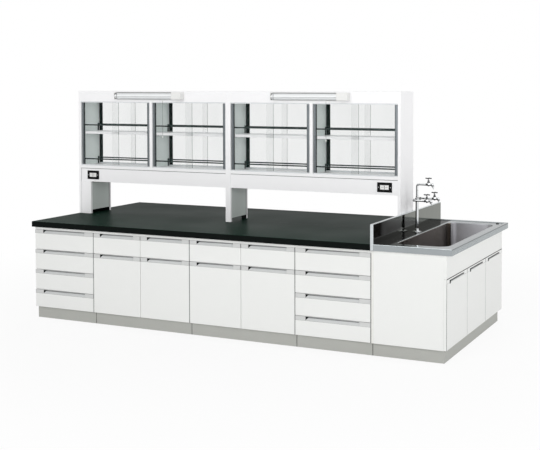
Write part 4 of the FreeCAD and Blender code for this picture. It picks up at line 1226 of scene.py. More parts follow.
class BENCH_OT_plinth(bpy.types.Operator):
    """Kickboards and the bearers between them"""
    bl_idname = "bench.plinth"
    bl_label = "Plinth"
    bl_options = {"REGISTER", "UNDO"}

    def execute(self, context):
        edge = context.scene.bench_sizes.board_edge
        shape = Shape()
        outer = PLINTH_HI.y
        inner = outer - BOARD
        edges = (*UNIT_EDGES, PLINTH_HI.x)
        seam = PLINTH_SEAM
        for start, end in zip(edges[:-1], edges[1:]):
            first = start + seam * (start > edges[0])
            last = end - seam * (end < edges[-1])
            for s in SIDES:
                shape.board(first, last, s * outer, s * inner, 0, CASE_LOW, "plinth", edge)
                if start > edges[0]:
                    shape.strip(start - seam, start + seam, s * (outer - 0.0012), s * inner,
                                0, CASE_LOW, "seal")
            for x in (start, end - BOARD):
                shape.board(x, x + BOARD, -inner, inner, 0, CASE_LOW, "plinth", edge)
        shape.piece("plinth_boards", BENCH, ("plinth",))
        return {"FINISHED"}


# ---- Worktop and sink ----

def arc(centre, radius, start, end, steps):
    """Points of a flat arc between two angles in degrees."""
    angles = [math.radians(start + (end - start) * i / steps) for i in range(steps + 1)]
    return [(centre[0] + radius * math.cos(turn), centre[1] + radius * math.sin(turn))
            for turn in angles]


def rounded_ring(x0, x1, y, radius, z):
    """A ring of points round a rectangle with round corners, from the +X side."""
    left, right, side = x0 + radius, x1 - radius, y - radius
    ring = []
    for i, corner in enumerate(((right, side), (left, side), (left, -side), (right, -side))):
        ring += arc(corner, radius, 90 * i, 90 * i + 90, CORNER_STEPS)
    return [(*point, z) for point in ring]


def round_ring(x, radius, z):
    """A circle with as many points as a rounded rectangle."""
    return [(x + radius * math.cos(turn), radius * math.sin(turn), z)
            for turn in turns(4 * (CORNER_STEPS + 1), 0.5)]


class BENCH_OT_worktop(bpy.types.Operator):
    """Two cast slabs that meet along the middle"""
    bl_idname = "bench.worktop"
    bl_label = "Worktop"
    bl_options = {"REGISTER", "UNDO"}

    def execute(self, context):
        shape = Shape()
        radius = context.scene.bench_sizes.worktop_edge
        y = HALF_DEPTH - radius
        flat = [(0.0002, CASE_TOP), *arc((y, CASE_TOP + radius), radius, -90, 0, 4),
                *arc((y, WORKTOP - radius), radius, 0, 90, 4),
                (0.0012, WORKTOP), (0.0002, WORKTOP - 0.001)]
        for s in SIDES:
            shape.outline([(LEFT_X, s * across, z) for across, z in flat],
                          (JOIN_X - LEFT_X, 0, 0), "worktop")
        shape.strip(LEFT_X, JOIN_X, -TOP_SEAM, TOP_SEAM, WORKTOP - 0.001, WORKTOP + 0.0002, "seal")
        shape.piece("worktop_slabs", BENCH, ("worktop",))
        return {"FINISHED"}


def sink_rings(sizes, drain_x):
    """The rings of the deck and the basin, over the upper side and back along the lower one."""
    deck, floor, rim = DECK, DECK - sizes.basin_depth, sizes.rim_width

    def outer(inset, z):
        return rounded_ring(JOIN_X + 0.010 + inset * 0.2, RIGHT_X - 0.0002 - inset,
                            HALF_DEPTH - 0.0002 - inset, 0.004, z)

    def bowl(grow, z):
        return rounded_ring(BASIN_LEFT - grow, BASIN_RIGHT + grow, BASIN_HALF + grow,
                            max(0.02, sizes.basin_corner + grow), z)

    def drain(radius, z):
        return round_ring(drain_x, radius, z)

    return [ring(size, z) for ring, size, z in (
        (outer, 0, CASE_TOP), (outer, 0, WORKTOP - 0.003), (outer, 0.0009, WORKTOP - 0.0009),
        (outer, 0.003, WORKTOP), (outer, rim - 0.001, WORKTOP),
        (outer, rim + 0.001, WORKTOP - 0.0004), (outer, rim + 0.0055, deck + 0.0004),
        (outer, rim + 0.0075, deck),
        (bowl, 0.012, deck), (bowl, 0.006, deck), (bowl, 0.0028, deck - 0.0009),
        (bowl, 0.0008, deck - 0.003), (bowl, 0, deck - 0.007), (bowl, -0.003, floor + 0.028),
        (bowl, -0.005, floor + 0.018), (bowl, -0.0105, floor + 0.009), (bowl, -0.020, floor + 0.0035),
        (bowl, -0.033, floor + 0.002), (drain, 0.075, floor + 0.0006), (drain, 0.060, floor),
        (drain, 0.055, floor - 0.002),
        (drain, 0.0555, floor - 0.0035), (drain, 0.075, floor - 0.0015),
        (bowl, -0.033, floor - 0.001), (bowl, -0.019, floor + 0.0012), (bowl, -0.0085, floor + 0.008),
        (bowl, -0.003, floor + 0.018), (bowl, -0.001, floor + 0.028), (bowl, 0.002, deck - 0.007),
        (bowl, 0.006, deck - 0.0025), (outer, rim + 0.0085, deck - 0.0022),
        (outer, 0.0022, deck - 0.002), (outer, 0.002, CASE_TOP), (outer, 0, CASE_TOP))]


def steel_at(middle, normal):
    """The finish of a face of the deck, the basin or the guard. The basin's long walls take a darker,
    browner copy of the steel than its floor and short walls, as painted reflection.
    """
    over_basin = abs(middle.y) < BASIN_HALF + 0.004 and middle.x < BASIN_RIGHT + 0.004
    if middle.z < DECK - 0.004 and over_basin:
        return "basin_side" if abs(normal.x) > 0.75 else "basin"
    if JOIN_X + GUARD - 0.001 < middle.x < JOIN_X + GUARD + 0.001 and normal.x > 0.9:
        return "guard"
    if middle.x < JOIN_X + GUARD + 0.001:
        return "edge_steel"
    return "end_steel" if middle.x > RIGHT_X - 0.001 and normal.x > 0.9 else "deck"


def add_waste(shape, x, under):
    """Slotted strainer, cup, tail, trap and the pipe down to the floor."""
    drain = (x, 0, under)
    cup = ((17, -53), (55, -53), (55, -4), (63, -3), (63, 0),
           (52, 0), (52, -50), (17, -50), (17, -53))
    trap = capped((40, -223), (45, -218), (45, -193), (43, -191), (45, -189), (45, -117), (41, -113))
    shape.turned(cup, drain, Z, "fitting", 40)
    shape.turned(capped((12, -3), (12, 0.5), (9, 2)), drain, Z, "fitting", 24)
    for inner, outer in ((28, 30.5), (47, 51.7)):
        shape.turned(washer(inner, outer, -3, 0), drain, Z, "fitting", 40)
    for turn in turns(12):
        out = Vector((math.cos(turn), math.sin(turn), 0))
        start = Vector((x, 0, under - 0.0015))
        shape.tube([start + out * 0.010, start + out * 0.049], 0.0014, "fitting", 8)
    shape.turned(capped((20, -113), (20, -69), (26, -69), (26, -53)), drain, Z, "plastic")
    shape.turned(trap, drain, Z, "plastic", 40)
    level = under - TRAP_OUTLET
    rise = 1000 * level
    drop = ((0, 40), (25, 40), (25, 100), (20.5, 101), (20, rise - 24), (25, rise - 22),
            (25, rise + 22), (0, rise + 25))
    run = capped((24, 0), (24, 16), (17, 18), (17, 200))
    shape.turned(drop, (JOIN_X + BOARD + WASTE_GAP / 2, 0, 0), Z, "plastic")
    shape.turned(run, (x - 0.040, 0, level), (-1, 0, 0), "plastic")


class BENCH_OT_sink(bpy.types.Operator):
    """Pressed deck and basin in one skin, the upright guard and the waste fittings"""
    bl_idname = "bench.sink"
    bl_label = "Sink"
    bl_options = {"REGISTER", "UNDO"}

    def execute(self, context):
        sizes = context.scene.bench_sizes
        drain_x = (BASIN_LEFT + BASIN_RIGHT) / 2
        shape = Shape()
        shape.loft(sink_rings(sizes, drain_x), "deck", False)
        shape.board(JOIN_X, JOIN_X + GUARD, -HALF_DEPTH, HALF_DEPTH, CASE_TOP, SINK_HI.z,
                    "deck", 0.003, 3)
        shape.finishes += ["basin", "basin_side", "guard", "edge_steel", "end_steel"]
        for face in shape.whole.faces:
            finish = steel_at(face.calc_center_median(), face.normal)
            face.material_index = shape.finishes.index(finish)
        # painted shade: grey strips just under the rim on the deck's end and long faces
        shape.strip(RIGHT_X - 0.001, RIGHT_X, 0.004 - HALF_DEPTH, HALF_DEPTH - 0.004,
                    WORKTOP - 0.0068, WORKTOP - 0.0024, "seam")
        for s in SIDES:
            shape.strip(JOIN_X + 0.026, RIGHT_X - 0.004, s * (HALF_DEPTH - 0.001), s * HALF_DEPTH,
                        WORKTOP - 0.0044, WORKTOP - 0.0024, "seam")
        plug = ((0, -1), (12.5, -1), (12.5, 3), (10.5, 5.5), (5, 6.5), (0, 6.6))
        shape.turned(plug, (RIGHT_X - 0.072, HALF_DEPTH - 0.068, DECK), Z, "rubber", 24)
        shape.piece("sink_deck_basin_guard", BENCH, ("sink_top",), even=True)
        shape = Shape()
        add_waste(shape, drain_x, DECK - sizes.basin_depth - 0.002)
        shape.piece("sink_waste", BENCH, ("sink_top",))
        return {"FINISHED"}


# ---- Reagent rack ----

def rack_bays():
    """Start and end of the rack's four bays."""
    bays = []
    for start, end in RACK_HALVES:
        middle = (start + end) / 2
        bays += [(start, middle - RACK_POST / 2), (middle + RACK_POST / 2, end)]
    return bays


class BENCH_OT_rack(bpy.types.Operator):
    """Panels, hollow legs, aprons, shelves, posts, fascias and lids of the reagent rack"""
    bl_idname = "bench.rack"
    bl_label = "Reagent rack"
    bl_options = {"REGISTER", "UNDO"}

    def execute(self, context):
        edge = context.scene.bench_sizes.board_edge
        shape = Shape()

        def board(x0, x1, y0, y1, z0, z1):
            shape.board(x0, x1, y0, y1, z0, z1, "rack", edge)

        for x, low in ((LEFT_X, WORKTOP), (JOIN_X - RACK_PANEL, WORKTOP),
                       (RACK_MID - RACK_PANEL, APRON_LOW), (RACK_MID, APRON_LOW)):
            board(x, x + RACK_PANEL, -RACK_HALF, RACK_HALF, low, RACK_TOP)
        (first, mid0), (mid1, _) = RACK_HALVES
        inner = RACK_HALF - 0.02
        plate_low = WORKTOP + 0.032
        liner_top = WORKTOP + LEG_LINER
        for x0, x1, plates in ((first, first + LEG_WIDE, (first + LEG_WIDE - LEG_PLATE,)),
                               (mid0, mid1, (mid0, mid1 - LEG_PLATE))):
            for s in SIDES:
                board(x0, x1, s * RACK_HALF, s * inner, WORKTOP, APRON_LOW)
                # painted shadow: a black strip at each leg's foot, in the gap under the plates
                shape.strip(x0 + 0.001, x1 - 0.001, s * inner, s * (inner - 0.001),
                            WORKTOP, liner_top, "seal")
            for x in plates:
                line0, line1 = x - PROUD, x + LEG_PLATE + PROUD
                # the leg plates are a shaded grey copy of the board, with a black line of painted
                # shadow along their tops
                shape.board(x, x + LEG_PLATE, -inner, inner, plate_low, APRON_LOW, "leg", edge)
                shape.strip(line0, line1, -inner, inner, APRON_LOW - 0.006, APRON_LOW, "seal")
                shape.strip(line0, line1, inner - 0.008, inner, plate_low, APRON_LOW, "seam")
        # painted shadow in the gap under the left leg's plate
        shape.strip(first, first + 0.001, -inner, inner, WORKTOP, liner_top, "seal")
        for s in SIDES:
            shape.strip(first - 0.0008, first + 0.0008, s * (RACK_HALF - 0.001),
                        s * (RACK_HALF + 0.0002), WORKTOP, APRON_TOP, "seam")
        for x0, x1 in RACK_HALVES:
            for s in SIDES:
                board(x0, x1, s * APRON_Y, s * (APRON_Y - BOARD), APRON_LOW, APRON_TOP)
                # painted shadow: a grey line under the bottom board's edge along the apron
                shape.strip(x0, x1, s * (APRON_Y - 0.002), s * (APRON_Y + 0.0006),
                            APRON_TOP - 0.004, APRON_TOP, "seam")
                board(x0, x1, s * RACK_HALF, s * (RACK_HALF - BOARD), GLAZING_TOP, RACK_TOP - BOARD)
            for y, low, thick in ((APRON_Y - BOARD, APRON_LOW, BOARD),
                                  (RACK_HALF, APRON_TOP, RACK_PANEL),
                                  (RACK_HALF - BOARD, GLAZING_TOP, BOARD),
                                  (RACK_HALF, RACK_TOP - BOARD, BOARD)):
                board(x0, x1, -y, y, low, low + thick)
            post = (x0 + x1 - RACK_POST) / 2
            board(post, post + RACK_POST, -RACK_HALF, RACK_HALF, RACK_FLOOR, GLAZING_TOP)
        shelf = RACK_HALF - TRACK_DEPTH - SEAT
        pegs = []
        for start, end in rack_bays():
            board(start + SEAT, end - SEAT, -shelf, shelf, RACK_SHELF, RACK_SHELF + SHELF_THICK)
            for s in SIDES:
                for x, turn in ((start, 0), (end, math.pi)):
                    place = Vector((x, s * (shelf - PEG_INSET), RACK_SHELF - PEG_RADIUS))
                    pegs.append((place, (0, turn, 0)))
        shape.piece("rack_boards", BENCH, ("rack_frame",))
        fitted("rack_shelf_pegs", peg_shape(), pegs, "fitting", ("rack_frame",))
        return {"FINISHED"}


def add_pane(shape, low, high, at_left, facing, sizes):
    """One pane whose outer edge sits in a grooved stile."""
    middle = facing * (low.y + high.y) / 2
    half = sizes.glass / 2
    edge, far, inward = (low.x, high.x, 1) if at_left else (high.x, low.x, -1)
    rim = far - inward * 0.0012
    shape.strip(edge + inward * (sizes.stile - 0.004), rim, middle - half, middle + half,
                low.z, high.z, "glass")
    shape.board(rim, far, middle - half, middle + half, low.z, high.z,
                "glass_edge" if at_left else "glass", 0.0004)
    deep = (high.y - low.y) / 2
    groove = deep - 0.0012
    flat = ((0, 0), (0, deep), (0.3, deep), (0.36, groove),
            (0.64, groove), (0.7, deep), (1, deep), (1, 0))
    # the black seal is drawn 1.3 to 1.7 times the stile's width, taking in the shade in the corner
    # beside it: partly a real seal, partly painted shade
    seal = 1.7 if at_left and facing < 0 else 1.3
    for side, finish, wide in ((1, "stile", sizes.stile), (-1, "seal", sizes.stile * seal)):
        points = [(edge + inward * wide * along, middle - facing * side * across, low.z)
                  for along, across in flat]
        shape.outline(points, (0, 0, high.z - low.z), finish, 0.0005)


def add_track(shape, start, end, s, base, up):
    """A base strip and three ribs along one bay."""
    tip, floor = base + up * TRACK_TALL, base + up * TRACK_WALL
    flat = []
    for rib in range(3):
        outer = RACK_HALF - rib * (TRACK_WALL + TRACK_LANE)
        inner = outer - TRACK_WALL
        flat += [(outer, floor), (outer, tip), (inner, tip), (inner, floor)]
    flat[0], flat[-1] = (RACK_HALF, base), (inner, base)
    shape.outline([(start, s * y, z) for y, z in flat], (end - start, 0, 0), "track", 0.0003, 1)


class BENCH_OT_glass(bpy.types.Operator):
    """Sliding panes with their stiles, and the two-lane tracks"""
    bl_idname = "bench.glass"
    bl_label = "Sliding glass"
    bl_options = {"REGISTER", "UNDO"}

    def execute(self, context):
        sizes = context.scene.bench_sizes
        bays = rack_bays()
        for name in ("left", "right"):
            rear = Shape()
            for i in range(len(bays)):
                node = f"glass_bay{i + 1}_{name}"
                low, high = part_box(node)
                shape = Shape()
                add_pane(shape, low, high, name == "left", 1, sizes)
                shape.piece(node + "_pane", node, (node,))
                add_pane(rear, low, high, name == "left", -1, sizes)
            node = f"rear_glass_{name}"
            rear.piece(node + "_panes", node, (node,))
        shape = Shape()
        for start, end in bays:
            for s in SIDES:
                add_track(shape, start, end, s, RACK_FLOOR, 1)
                add_track(shape, start, end, s, GLAZING_TOP, -1)
        shape.piece("glass_track_profiles", BENCH, ("glass_tracks",))
        return {"FINISHED"}


def bracket_shape():
    """The end bracket of a guard rail: a plate, a collar for the bar and a screw."""
    shape = Shape()
    shape.board(0, 0.003, -0.008, 0.008, 0, 0.064, "bar", 0.0012)
    shape.turned(((0, 0), (9.5, 0), (9.5, 2), (7.5, 5), (6.5, 5), (6.5, 0)),
                 (0.0025, 0, BAR_RISE), X, "bar", 24)
    shape.turned(((0, 0), (3.5, 0), (3.2, 0.8), (2, 1.4), (0, 1.5)), (0.003, 0, 0.018), X, "bar", 16)
    return shape


class BENCH_OT_rails(bpy.types.Operator):
    """Guard rails of the rack with their end brackets"""
    bl_idname = "bench.rails"
    bl_label = "Guard rails"
    bl_options = {"REGISTER", "UNDO"}

    def execute(self, context):
        points, edges, places = [], [], []
        for start, end in rack_bays():
            for level in (RACK_FLOOR, RACK_SHELF + SHELF_THICK):
                for s in SIDES:
                    y, z = s * (RACK_HALF - BAR_SETBACK), level + BAR_RISE
                    edges.append((len(points), len(points) + 1))
                    points += [(start + 0.003, y, z), (end - 0.003, y, z)]
                    places.append((Vector((start, y, level)), (0, 0, 0)))
                    places.append((Vector((end, y, level)), (0, 0, math.pi)))
        inputs = {"Radius": context.scene.bench_sizes.bar, "Sides": 24, "Finish": finish_of("bar")}
        bars = grown("guard_bars", points, edges, *bars_tree(), inputs)
        for polygon in bars.data.polygons:
            polygon.use_smooth = len(polygon.vertices) == 4
        dressed(bars, BENCH, ("guard_rails",))
        fitted("guard_brackets", bracket_shape(), places, "bar", ("guard_rails",))
        return {"FINISHED"}


# ---- Lamps, outlets and faucet ----

def lamp_centres():
    return [LEFT_X + share * (JOIN_X - LEFT_X) for share in (0.25, 0.75)]


def diffuser_outline(tray, nose, top):
    """The section of a diffuser, from its lower edge on the tray round to its upper one."""
    height = top - 0.009 - LAMP_LOW
    root = tray - 0.002
    flat = [(tray, LAMP_LOW + 0.001)]
    for i in range(DIFFUSER_STEPS + 1):
        share = i / DIFFUSER_STEPS
        bulge = math.sin(math.pi * share) ** 0.55
        flat.append((root - (root - nose - 0.0006) * bulge, LAMP_LOW + 0.0015 + height * share))
    return [*flat, (tray, top - 0.0075)]


def add_lamp(shape, centre):
    """A tray with its diffuser, grey lines of painted shade along its joints, its crease and round
    its end cap, a switch block and a cord spout.
    """
    low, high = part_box("lamps")
    base, top, back, nose = LAMP_LOW, high.z, -RACK_HALF, low.y
    tray = back - LAMP_TRAY
    x0, x1 = centre - LAMP_HALF, centre + LAMP_HALF
    start, block = x0 + LAMP_CAP, x1 - LAMP_BLOCK
    shape.board(start, block, back, tray, base, top, "plastic", 0.0015, 3)
    flat = diffuser_outline(tray, nose, top)
    shape.outline([(start, y, z) for y, z in flat], (block - start, 0, 0), "diffuser")
    # painted shade: grey strips along the diffuser's upper and lower joints with the tray, a line
    # along its crease and lines round the end cap
    for level in (base + 0.0005, top - 0.0065):
        shape.board(start, block, tray + 0.002, tray - 0.0026, level, level + 0.0045, "seam", 0.0004)
    front0, front1 = nose + 0.0035, nose + 0.0002
    low_line, high_line = base + 0.004, top - 0.008
    rib = base + 0.42 * (top - 0.006 - base)
    shape.board(start, block, front0, front1, rib, rib + 0.002, "seam", 0.0003)
    shape.board(start, x0 + 0.009, tray, nose + 0.001, low_line, high_line, "seam", 0.0004)
    shape.board(x0 + 0.026, x0 + 0.0285, front0, front1, low_line, high_line, "seam", 0.0004)
    shape.board(x0, start, back, nose, base, top, "plastic", 0.002, 3)
    shape.board(block, x1, back, nose, base, top, "plastic", 0.003, 3)
    spout = ((1.6, 0), (3.2, 0), (3.6, 1), (4.5, 12), (4.5, 14.5), (1.6, 14.5), (1.6, 0))
    shape.turned(spout, (centre + CORD_X, CORD_Y, base - 0.014), Z, "plastic", 20)


class BENCH_OT_lamps(bpy.types.Operator):
    """Slim lamps on the front fascia: tray, diffuser, end cap, switch block and cord spout"""
    bl_idname = "bench.lamps"
    bl_label = "Lamps"
    bl_options = {"REGISTER", "UNDO"}

    def execute(self, context):
        shape = Shape()
        for centre in lamp_centres():
            add_lamp(shape, centre)
        shape.piece("lamp_bodies", BENCH, ("lamps",))
        return {"FINISHED"}


def add_outlet(shape, x, s):
    """A black plate with a white insert that holds two round sockets."""
    level = (APRON_LOW + APRON_TOP) / 2
    front = APRON_Y + 0.006
    for wide, tall, near, far, finish, radius, steps in (
            (0.06, 0.0375, APRON_Y, front, "plate", 0.0025, 3),
            (0.035, 0.017, front - 0.001, front + 0.0013, "plastic", 0.0012, 3),
            (0.0016, 0.0155, front + 0.0008, front + 0.0016, "rubber", 0.0, 2)):
        shape.board(x - wide, x + wide, s * near, s * far, level - tall, level + tall,
                    finish, radius, steps)
    facing = (0, s, 0)
    for offset in (-0.0165, 0.0165):
        centre = Vector((x + offset, s * (front + 0.0011), level))
        shape.turned(washer(11.8, 12.8, 0, 0.4), centre, facing, "plastic", 28)
        # painted shade: the socket holes are dark discs
        for pin in (-0.005, 0.005):
            shape.turned(capped((2.1, 0), (2.1, 0.3)), centre + Vector((pin, 0, 0)), facing,
                         "rubber", 14)
    for side in (-0.05, 0.05):
        shape.turned(((0, 0), (4.2, 0), (4, 0.8), (2.4, 1.3), (0, 1.4)), (x + side, s * front, level),
                     facing, "fitting", 16)


class BENCH_OT_outlets(bpy.types.Operator):
    """Power outlets on both sides of the apron"""
    bl_idname = "bench.outlets"
    bl_label = "Outlets"
    bl_options = {"REGISTER", "UNDO"}

    def execute(self, context):
        shape = Shape()
        for s in SIDES:
            for x in (LEFT_X + 0.15, JOIN_X - 0.131):
                add_outlet(shape, x, s)
        shape.piece("outlet_plates", BENCH, ("outlets",))
        return {"FINISHED"}


def valve_centre(node):
    """The middle of the valve under a handle."""
    low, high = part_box(node)
    return Vector(((low.x + high.x) / 2, (low.y + high.y) / 2, low.z - STEM_SEAT))


def add_valve(shape, centre):
    """Globe body with union collars, bonnet, packing nut, knuckle and ribbed nozzle."""
    end = centre + Vector((0.030, 0, 0))
    tilt = math.radians(18)
    down = (math.sin(tilt), 0, -math.cos(tilt))
    ball = [(10.5 * math.sin(math.pi * i / 12), -10.5 * math.cos(math.pi * i / 12))
            for i in range(13)]
    ball[0], ball[-1] = (0.3, -10.5), (0.3, 10.5)
    ribs = [(2.6, 16.5), (5.2, 16.5)]
    for i in range(3):
        ridge, start = 6.4 - i * 0.8, 16.8 + i * 5.8
        ribs += [(ridge - 1.3, start), (ridge - 1.3, start + 2.6),
                 (ridge, start + 3), (ridge - 0.4, start + 4.2)]
    ribs += [(3.1, 34.1), (2.6, 34.5), (2.6, 16.5)]
    body = ((0, -13), (5, -12.8), (6, -11.5), (10.5, -8), (13, -2), (13, 3),
            (11.2, 8), (9.5, 11), (9.5, 13), (0, 13))
    shape.turned(body, centre, Z, "chrome")
    shape.turned(capped((10.8, 12.5), (11.5, 13.5), (11.5, 19), (10.8, 20)), centre, Z,
                 "handle", 6, 10)
    shape.turned(capped((9.2, 20), (8.2, 25), (7, 26), (7, 33), (6, 35)), centre, Z, "handle", 28)
    shape.turned(capped((9.8, 0), (10.5, 0.8), (10.5, 7), (9.8, 7.8)),
                 centre - Vector((0.0205, 0, 0)), X, "handle", 6, 10)
    shape.tube([centre + Vector((0.010, 0, 0)), end], 0.007, "chrome")
    shape.turned(capped((9.5, 0), (10, 0.8), (10, 5.5), (9.5, 6.2)),
                 centre + Vector((0.0125, 0, 0)), X, "chrome", 6, 10)
    shape.turned(ball, end, down, "chrome", 28)
    shape.turned(capped((9.2, 4), (9.8, 5.5), (9.8, 15), (9.2, 16.5)), end, down, "handle", 6, 10)
    shape.turned(ribs, end, down, "chrome", 28, 25)


def add_cross(shape, foot):
    """A stem, a domed hub and four tapered arms with round ends."""
    hub = ((0, 0), (2.8, 0), (2.8, 8), (5.8, 8.5), (6.3, 10), (6.3, 15),
           (5, 16.8), (2.5, 17.4), (0, 17.5))
    arm = ((0, 2), (4, 2), (3.6, 9), (4, 15), (4.7, 17.5), (4.9, 20),
           (4.5, 22.5), (3, 24.3), (0, 24.8))
    middle = foot + Vector((0, 0, 0.0125))
    shape.turned(hub, foot, Z, "handle", 28)
    for turn in turns(4):
        shape.turned(arm, middle, (math.cos(turn), math.sin(turn), 0), "handle", 20)


class BENCH_OT_faucet(bpy.types.Operator):
    """Three-way faucet with its valves, hose nozzles and four-armed handles"""
    bl_idname = "bench.faucet"
    bl_label = "Faucet"
    bl_options = {"REGISTER", "UNDO"}

    def execute(self, context):
        x = FAUCET_X
        centres = [valve_centre(f"valve_handle{i + 1}") for i in range(3)]
        side, _, top = centres
        low, reach = side.z, abs(side.y)
        rise = 1000 * (low - DECK)
        shape = Shape()
        column = capped((36, 0), (36, 2.2), (34.5, 3.6), (20, 7.5), (14.5, 10.5), (13.5, 16),
                        (14.5, 19), (13.5, 22), (12, 24), (12, rise - 13), (13.8, rise - 12),
                        (15, rise - 9), (15, rise + 9), (12.5, rise + 12), (10.5, rise + 14),
                        (10.5, rise + 26), (8.5, rise + 27.5))
        shape.turned(column, (x, 0, DECK), Z, "chrome", 40)
        nut = capped((10.5, 0), (11.2, 1), (11.2, 9), (10.5, 10))
        for s in SIDES:
            bend = [(x + ARM_BEND * (1 - math.cos(turn)),
                     s * (reach - ARM_BEND * (1 - math.sin(turn))), low)
                    for turn in (0, 0.39, 0.785, 1.18, 1.571)]
            shape.tube([(x, 0, low), *bend, (side.x - 0.012, s * reach, low)], 0.0076, "chrome")
            for along in (0.022, reach - 0.024):
                shape.turned(nut, (x, s * along, low), (0, s, 0), "handle", 6, 10)
        bend = [(x + RISER_BEND * (1 - math.cos(turn)), 0,
                 top.z - RISER_BEND * (1 - math.sin(turn)))
                for turn in (0, 0.314, 0.628, 0.942, 1.257, 1.571)]
        shape.tube([(x, 0, low + 0.02), *bend, (top.x - 0.012, 0, top.z)], 0.0082, "chrome")
        for centre in centres:
            add_valve(shape, centre)
        shape.turned(capped((10, 0), (10, 70)), (x, 0, DECK - 0.070), Z, "fitting", 24)
        shape.turned(washer(10, 18, 0, 10), (x, 0, DECK - 0.012), Z, "fitting", 6, 10)
        shape.piece("faucet_bodywork", BENCH, ("faucet_body",))
        for i, centre in enumerate(centres):
            node = f"valve_handle{i + 1}"
            shape = Shape()
            add_cross(shape, centre + Vector((0, 0, STEM_SEAT)))
            shape.piece(node + "_cross", node, (node,))
        return {"FINISHED"}


def cord_line(name, route, diameter):
    """A round cord along a smooth curve through a few points."""
    line = bpy.data.curves.new(name, "CURVE")
    line.dimensions = "3D"
    line.bevel_depth = diameter / 2
    line.bevel_resolution = 3
    line.use_fill_caps = True
    spline = line.splines.new("NURBS")
    spline.points.add(len(route) - 1)
    for point, place in zip(spline.points, route):
        point.co = (*place, 1.0)
    spline.order_u = 3
    spline.use_endpoint_u = True
    line.materials.append(finish_of("cord"))
    made = bpy.data.objects.new(name, line)
    bpy.context.scene.collection.objects.link(made)
    return made


class BENCH_OT_pull_cords(bpy.types.Operator):
    """Lamp cords that hang out of their spouts, with their knobs"""
    bl_idname = "bench.pull_cords"
    bl_label = "Pull cords"
    bl_options = {"REGISTER", "UNDO"}

    def execute(self, context):
        thick = context.scene.bench_sizes.cord
        profile = capped((3.5, 0), (4.7, 1.2), (5, 3), (4.8, 9), (3, 14), (1.9, 17.2), (1.4, 18))
        for i, centre in enumerate(lamp_centres()):
            node = f"pull_cord{i + 1}"
            x, y = centre + CORD_X, CORD_Y
            route = [(x, y, z) for z in (CORD_TOP, CORD_TOP - 0.1, CORD_END + 0.1, CORD_END)]
            cord = dressed(cord_line(node + "_line", route, thick), node, (node,))
            shape = Shape()
            shape.turned(profile, (x, y, CORD_END - 0.018), Z, "plastic", 24)
            knob = shape.piece(node + "_knob", node, ())
        return {"FINISHED"}


# ---- Stage ----

def seen(graph):
    """1 where the camera looks, also in metal and through glass, and 0 for the rest of the light."""
    share = graph.node("ShaderNodeLightPath", out="Is Camera Ray")
    for other in ("Is Glossy Ray", "Is Transmission Ray"):
        share = share.larger(graph.node("ShaderNodeLightPath", out=other))
    return share


def add_floor():
    """A pale floor that fades to white away from the bench."""
    part = bmesh.new()
    bmesh.ops.create_grid(part, x_segments=1, y_segments=1, size=40.0)
    mesh = bpy.data.meshes.new("floor")
    part.to_mesh(mesh)
    part.free()
    floor = bpy.data.objects.new("floor", mesh)
    bpy.context.scene.collection.objects.link(floor)
    made = Finish("Pale floor", (0.93, 0.93, 0.93), 0.9, Specular_IOR_Level=0.1)
    made.paint(made.clouds(0.6, 2.0, 0.3, 0.7, 1.0), (0.94, 0.94, 0.94, 1), (0.92, 0.92, 0.92, 1))
    away = made.node("ShaderNodeVectorMath", {0: made.place}, "Value", operation="LENGTH")
    white = made.node("ShaderNodeEmission", {"Color": (1, 1, 1, 1), "Strength": 1.0})
    made.lay(away.mapped(1.0, 4.5, 0.86, 1.0) * seen(made), white)
    mesh.materials.append(made.material)


def add_sky(scene, level):
    """White to the camera, in metal and through glass, and softer as light."""
    world = bpy.data.worlds.new("Studio")
    world.use_nodes = True
    scene.world = world
    strength = seen(Graph(world.node_tree)).mapped(0.0, 1.0, level, 1.0)
    back = world.node_tree.nodes["Background"]
    back.inputs["Color"].default_value = (1, 1, 1, 1)
    world.node_tree.links.new(strength.socket, back.inputs["Strength"])


def add_light(name, place, size, watts):
    """A large square lamp aimed at the middle of the bench."""
    lamp = bpy.data.lights.new(name, "AREA")
    lamp.size = size
    lamp.energy = watts
    made = bpy.data.objects.new(name, lamp)
    bpy.context.scene.collection.objects.link(made)
    made.location = place
    made.rotation_euler = (Vector((0.2, 0, 0.8)) - Vector(place)).to_track_quat("-Z", "Y").to_euler()
    return made


def add_camera(scene):
    """The camera that was solved from the photo."""
    camera = bpy.data.objects.new("Camera", bpy.data.cameras.new("Camera"))
    scene.collection.objects.link(camera)
    scene.camera = camera
    camera.data.sensor_width = SENSOR
    camera.data.lens = LENS_PIXELS * SENSOR / PHOTO_WIDE
    camera.data.shift_x = (PHOTO_WIDE / 2 - CENTRE_PIXEL[0]) / PHOTO_WIDE
    camera.data.shift_y = (CENTRE_PIXEL[1] - PHOTO_TALL / 2) / PHOTO_WIDE
    camera.location = CAMERA_PLACE
    camera.rotation_euler = [math.radians(angle) for angle in CAMERA_ANGLES]


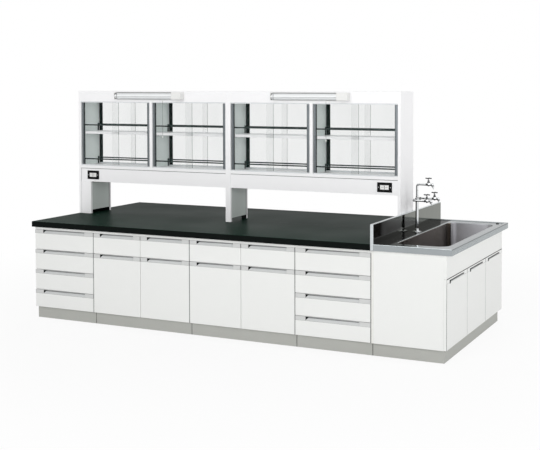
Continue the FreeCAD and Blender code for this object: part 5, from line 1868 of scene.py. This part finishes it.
class BENCH_OT_stage(bpy.types.Operator):
    """Pale floor, soft studio light and the camera"""
    bl_idname = "bench.stage"
    bl_label = "Stage"
    bl_options = {"REGISTER", "UNDO"}

    def execute(self, context):
        scene = context.scene
        light = scene.bench_light
        scene.view_settings.view_transform = "Standard"
        add_floor()
        add_sky(scene, light.sky)
        add_light("Key", (-1.2, -8.6, 3.8), 4.5, light.key)
        add_light("Fill", (5.2, -7.6, 3.4), 4.5, light.fill)
        add_light("Side", (8.6, 0.4, 3.4), 5.0, light.side)
        add_light("Back", (-2.0, 8.0, 4.0), 4.5, light.back).visible_glossy = False
        add_camera(scene)
        return {"FINISHED"}


class BENCH_PT_panel(bpy.types.Panel):
    """Lists the pieces of the bench"""
    bl_label = "Laboratory bench"
    bl_idname = "BENCH_PT_panel"
    bl_space_type = "VIEW_3D"
    bl_region_type = "UI"
    bl_category = "Bench"

    def draw(self, context):
        for operator in OPERATORS:
            self.layout.operator(operator.bl_idname)
        for name, kind in GROUPS.items():
            box = self.layout.box()
            for label in kind.__annotations__:
                box.prop(getattr(context.scene, name), label)


OPERATORS = (
    BENCH_OT_cabinets,
    BENCH_OT_drawers,
    BENCH_OT_doors,
    BENCH_OT_plinth,
    BENCH_OT_worktop,
    BENCH_OT_sink,
    BENCH_OT_faucet,
    BENCH_OT_rack,
    BENCH_OT_glass,
    BENCH_OT_rails,
    BENCH_OT_lamps,
    BENCH_OT_outlets,
    BENCH_OT_pull_cords,
    BENCH_OT_stage,
)
GROUPS = {"bench_sizes": BenchSizes, "bench_colours": BenchColours, "bench_light": BenchLight}


def register():
    for kind in (*GROUPS.values(), *OPERATORS, BENCH_PT_panel):
        bpy.utils.register_class(kind)
    for name, group in GROUPS.items():
        setattr(bpy.types.Scene, name, bpy.props.PointerProperty(type=group))


def unregister():
    for name in GROUPS:
        delattr(bpy.types.Scene, name)
    for kind in reversed((*GROUPS.values(), *OPERATORS, BENCH_PT_panel)):
        bpy.utils.unregister_class(kind)


def main():
    register()
    for operator in OPERATORS:
        group, name = operator.bl_idname.split(".")
        getattr(getattr(bpy.ops, group), name)()


if __name__ == "__main__":
    main()
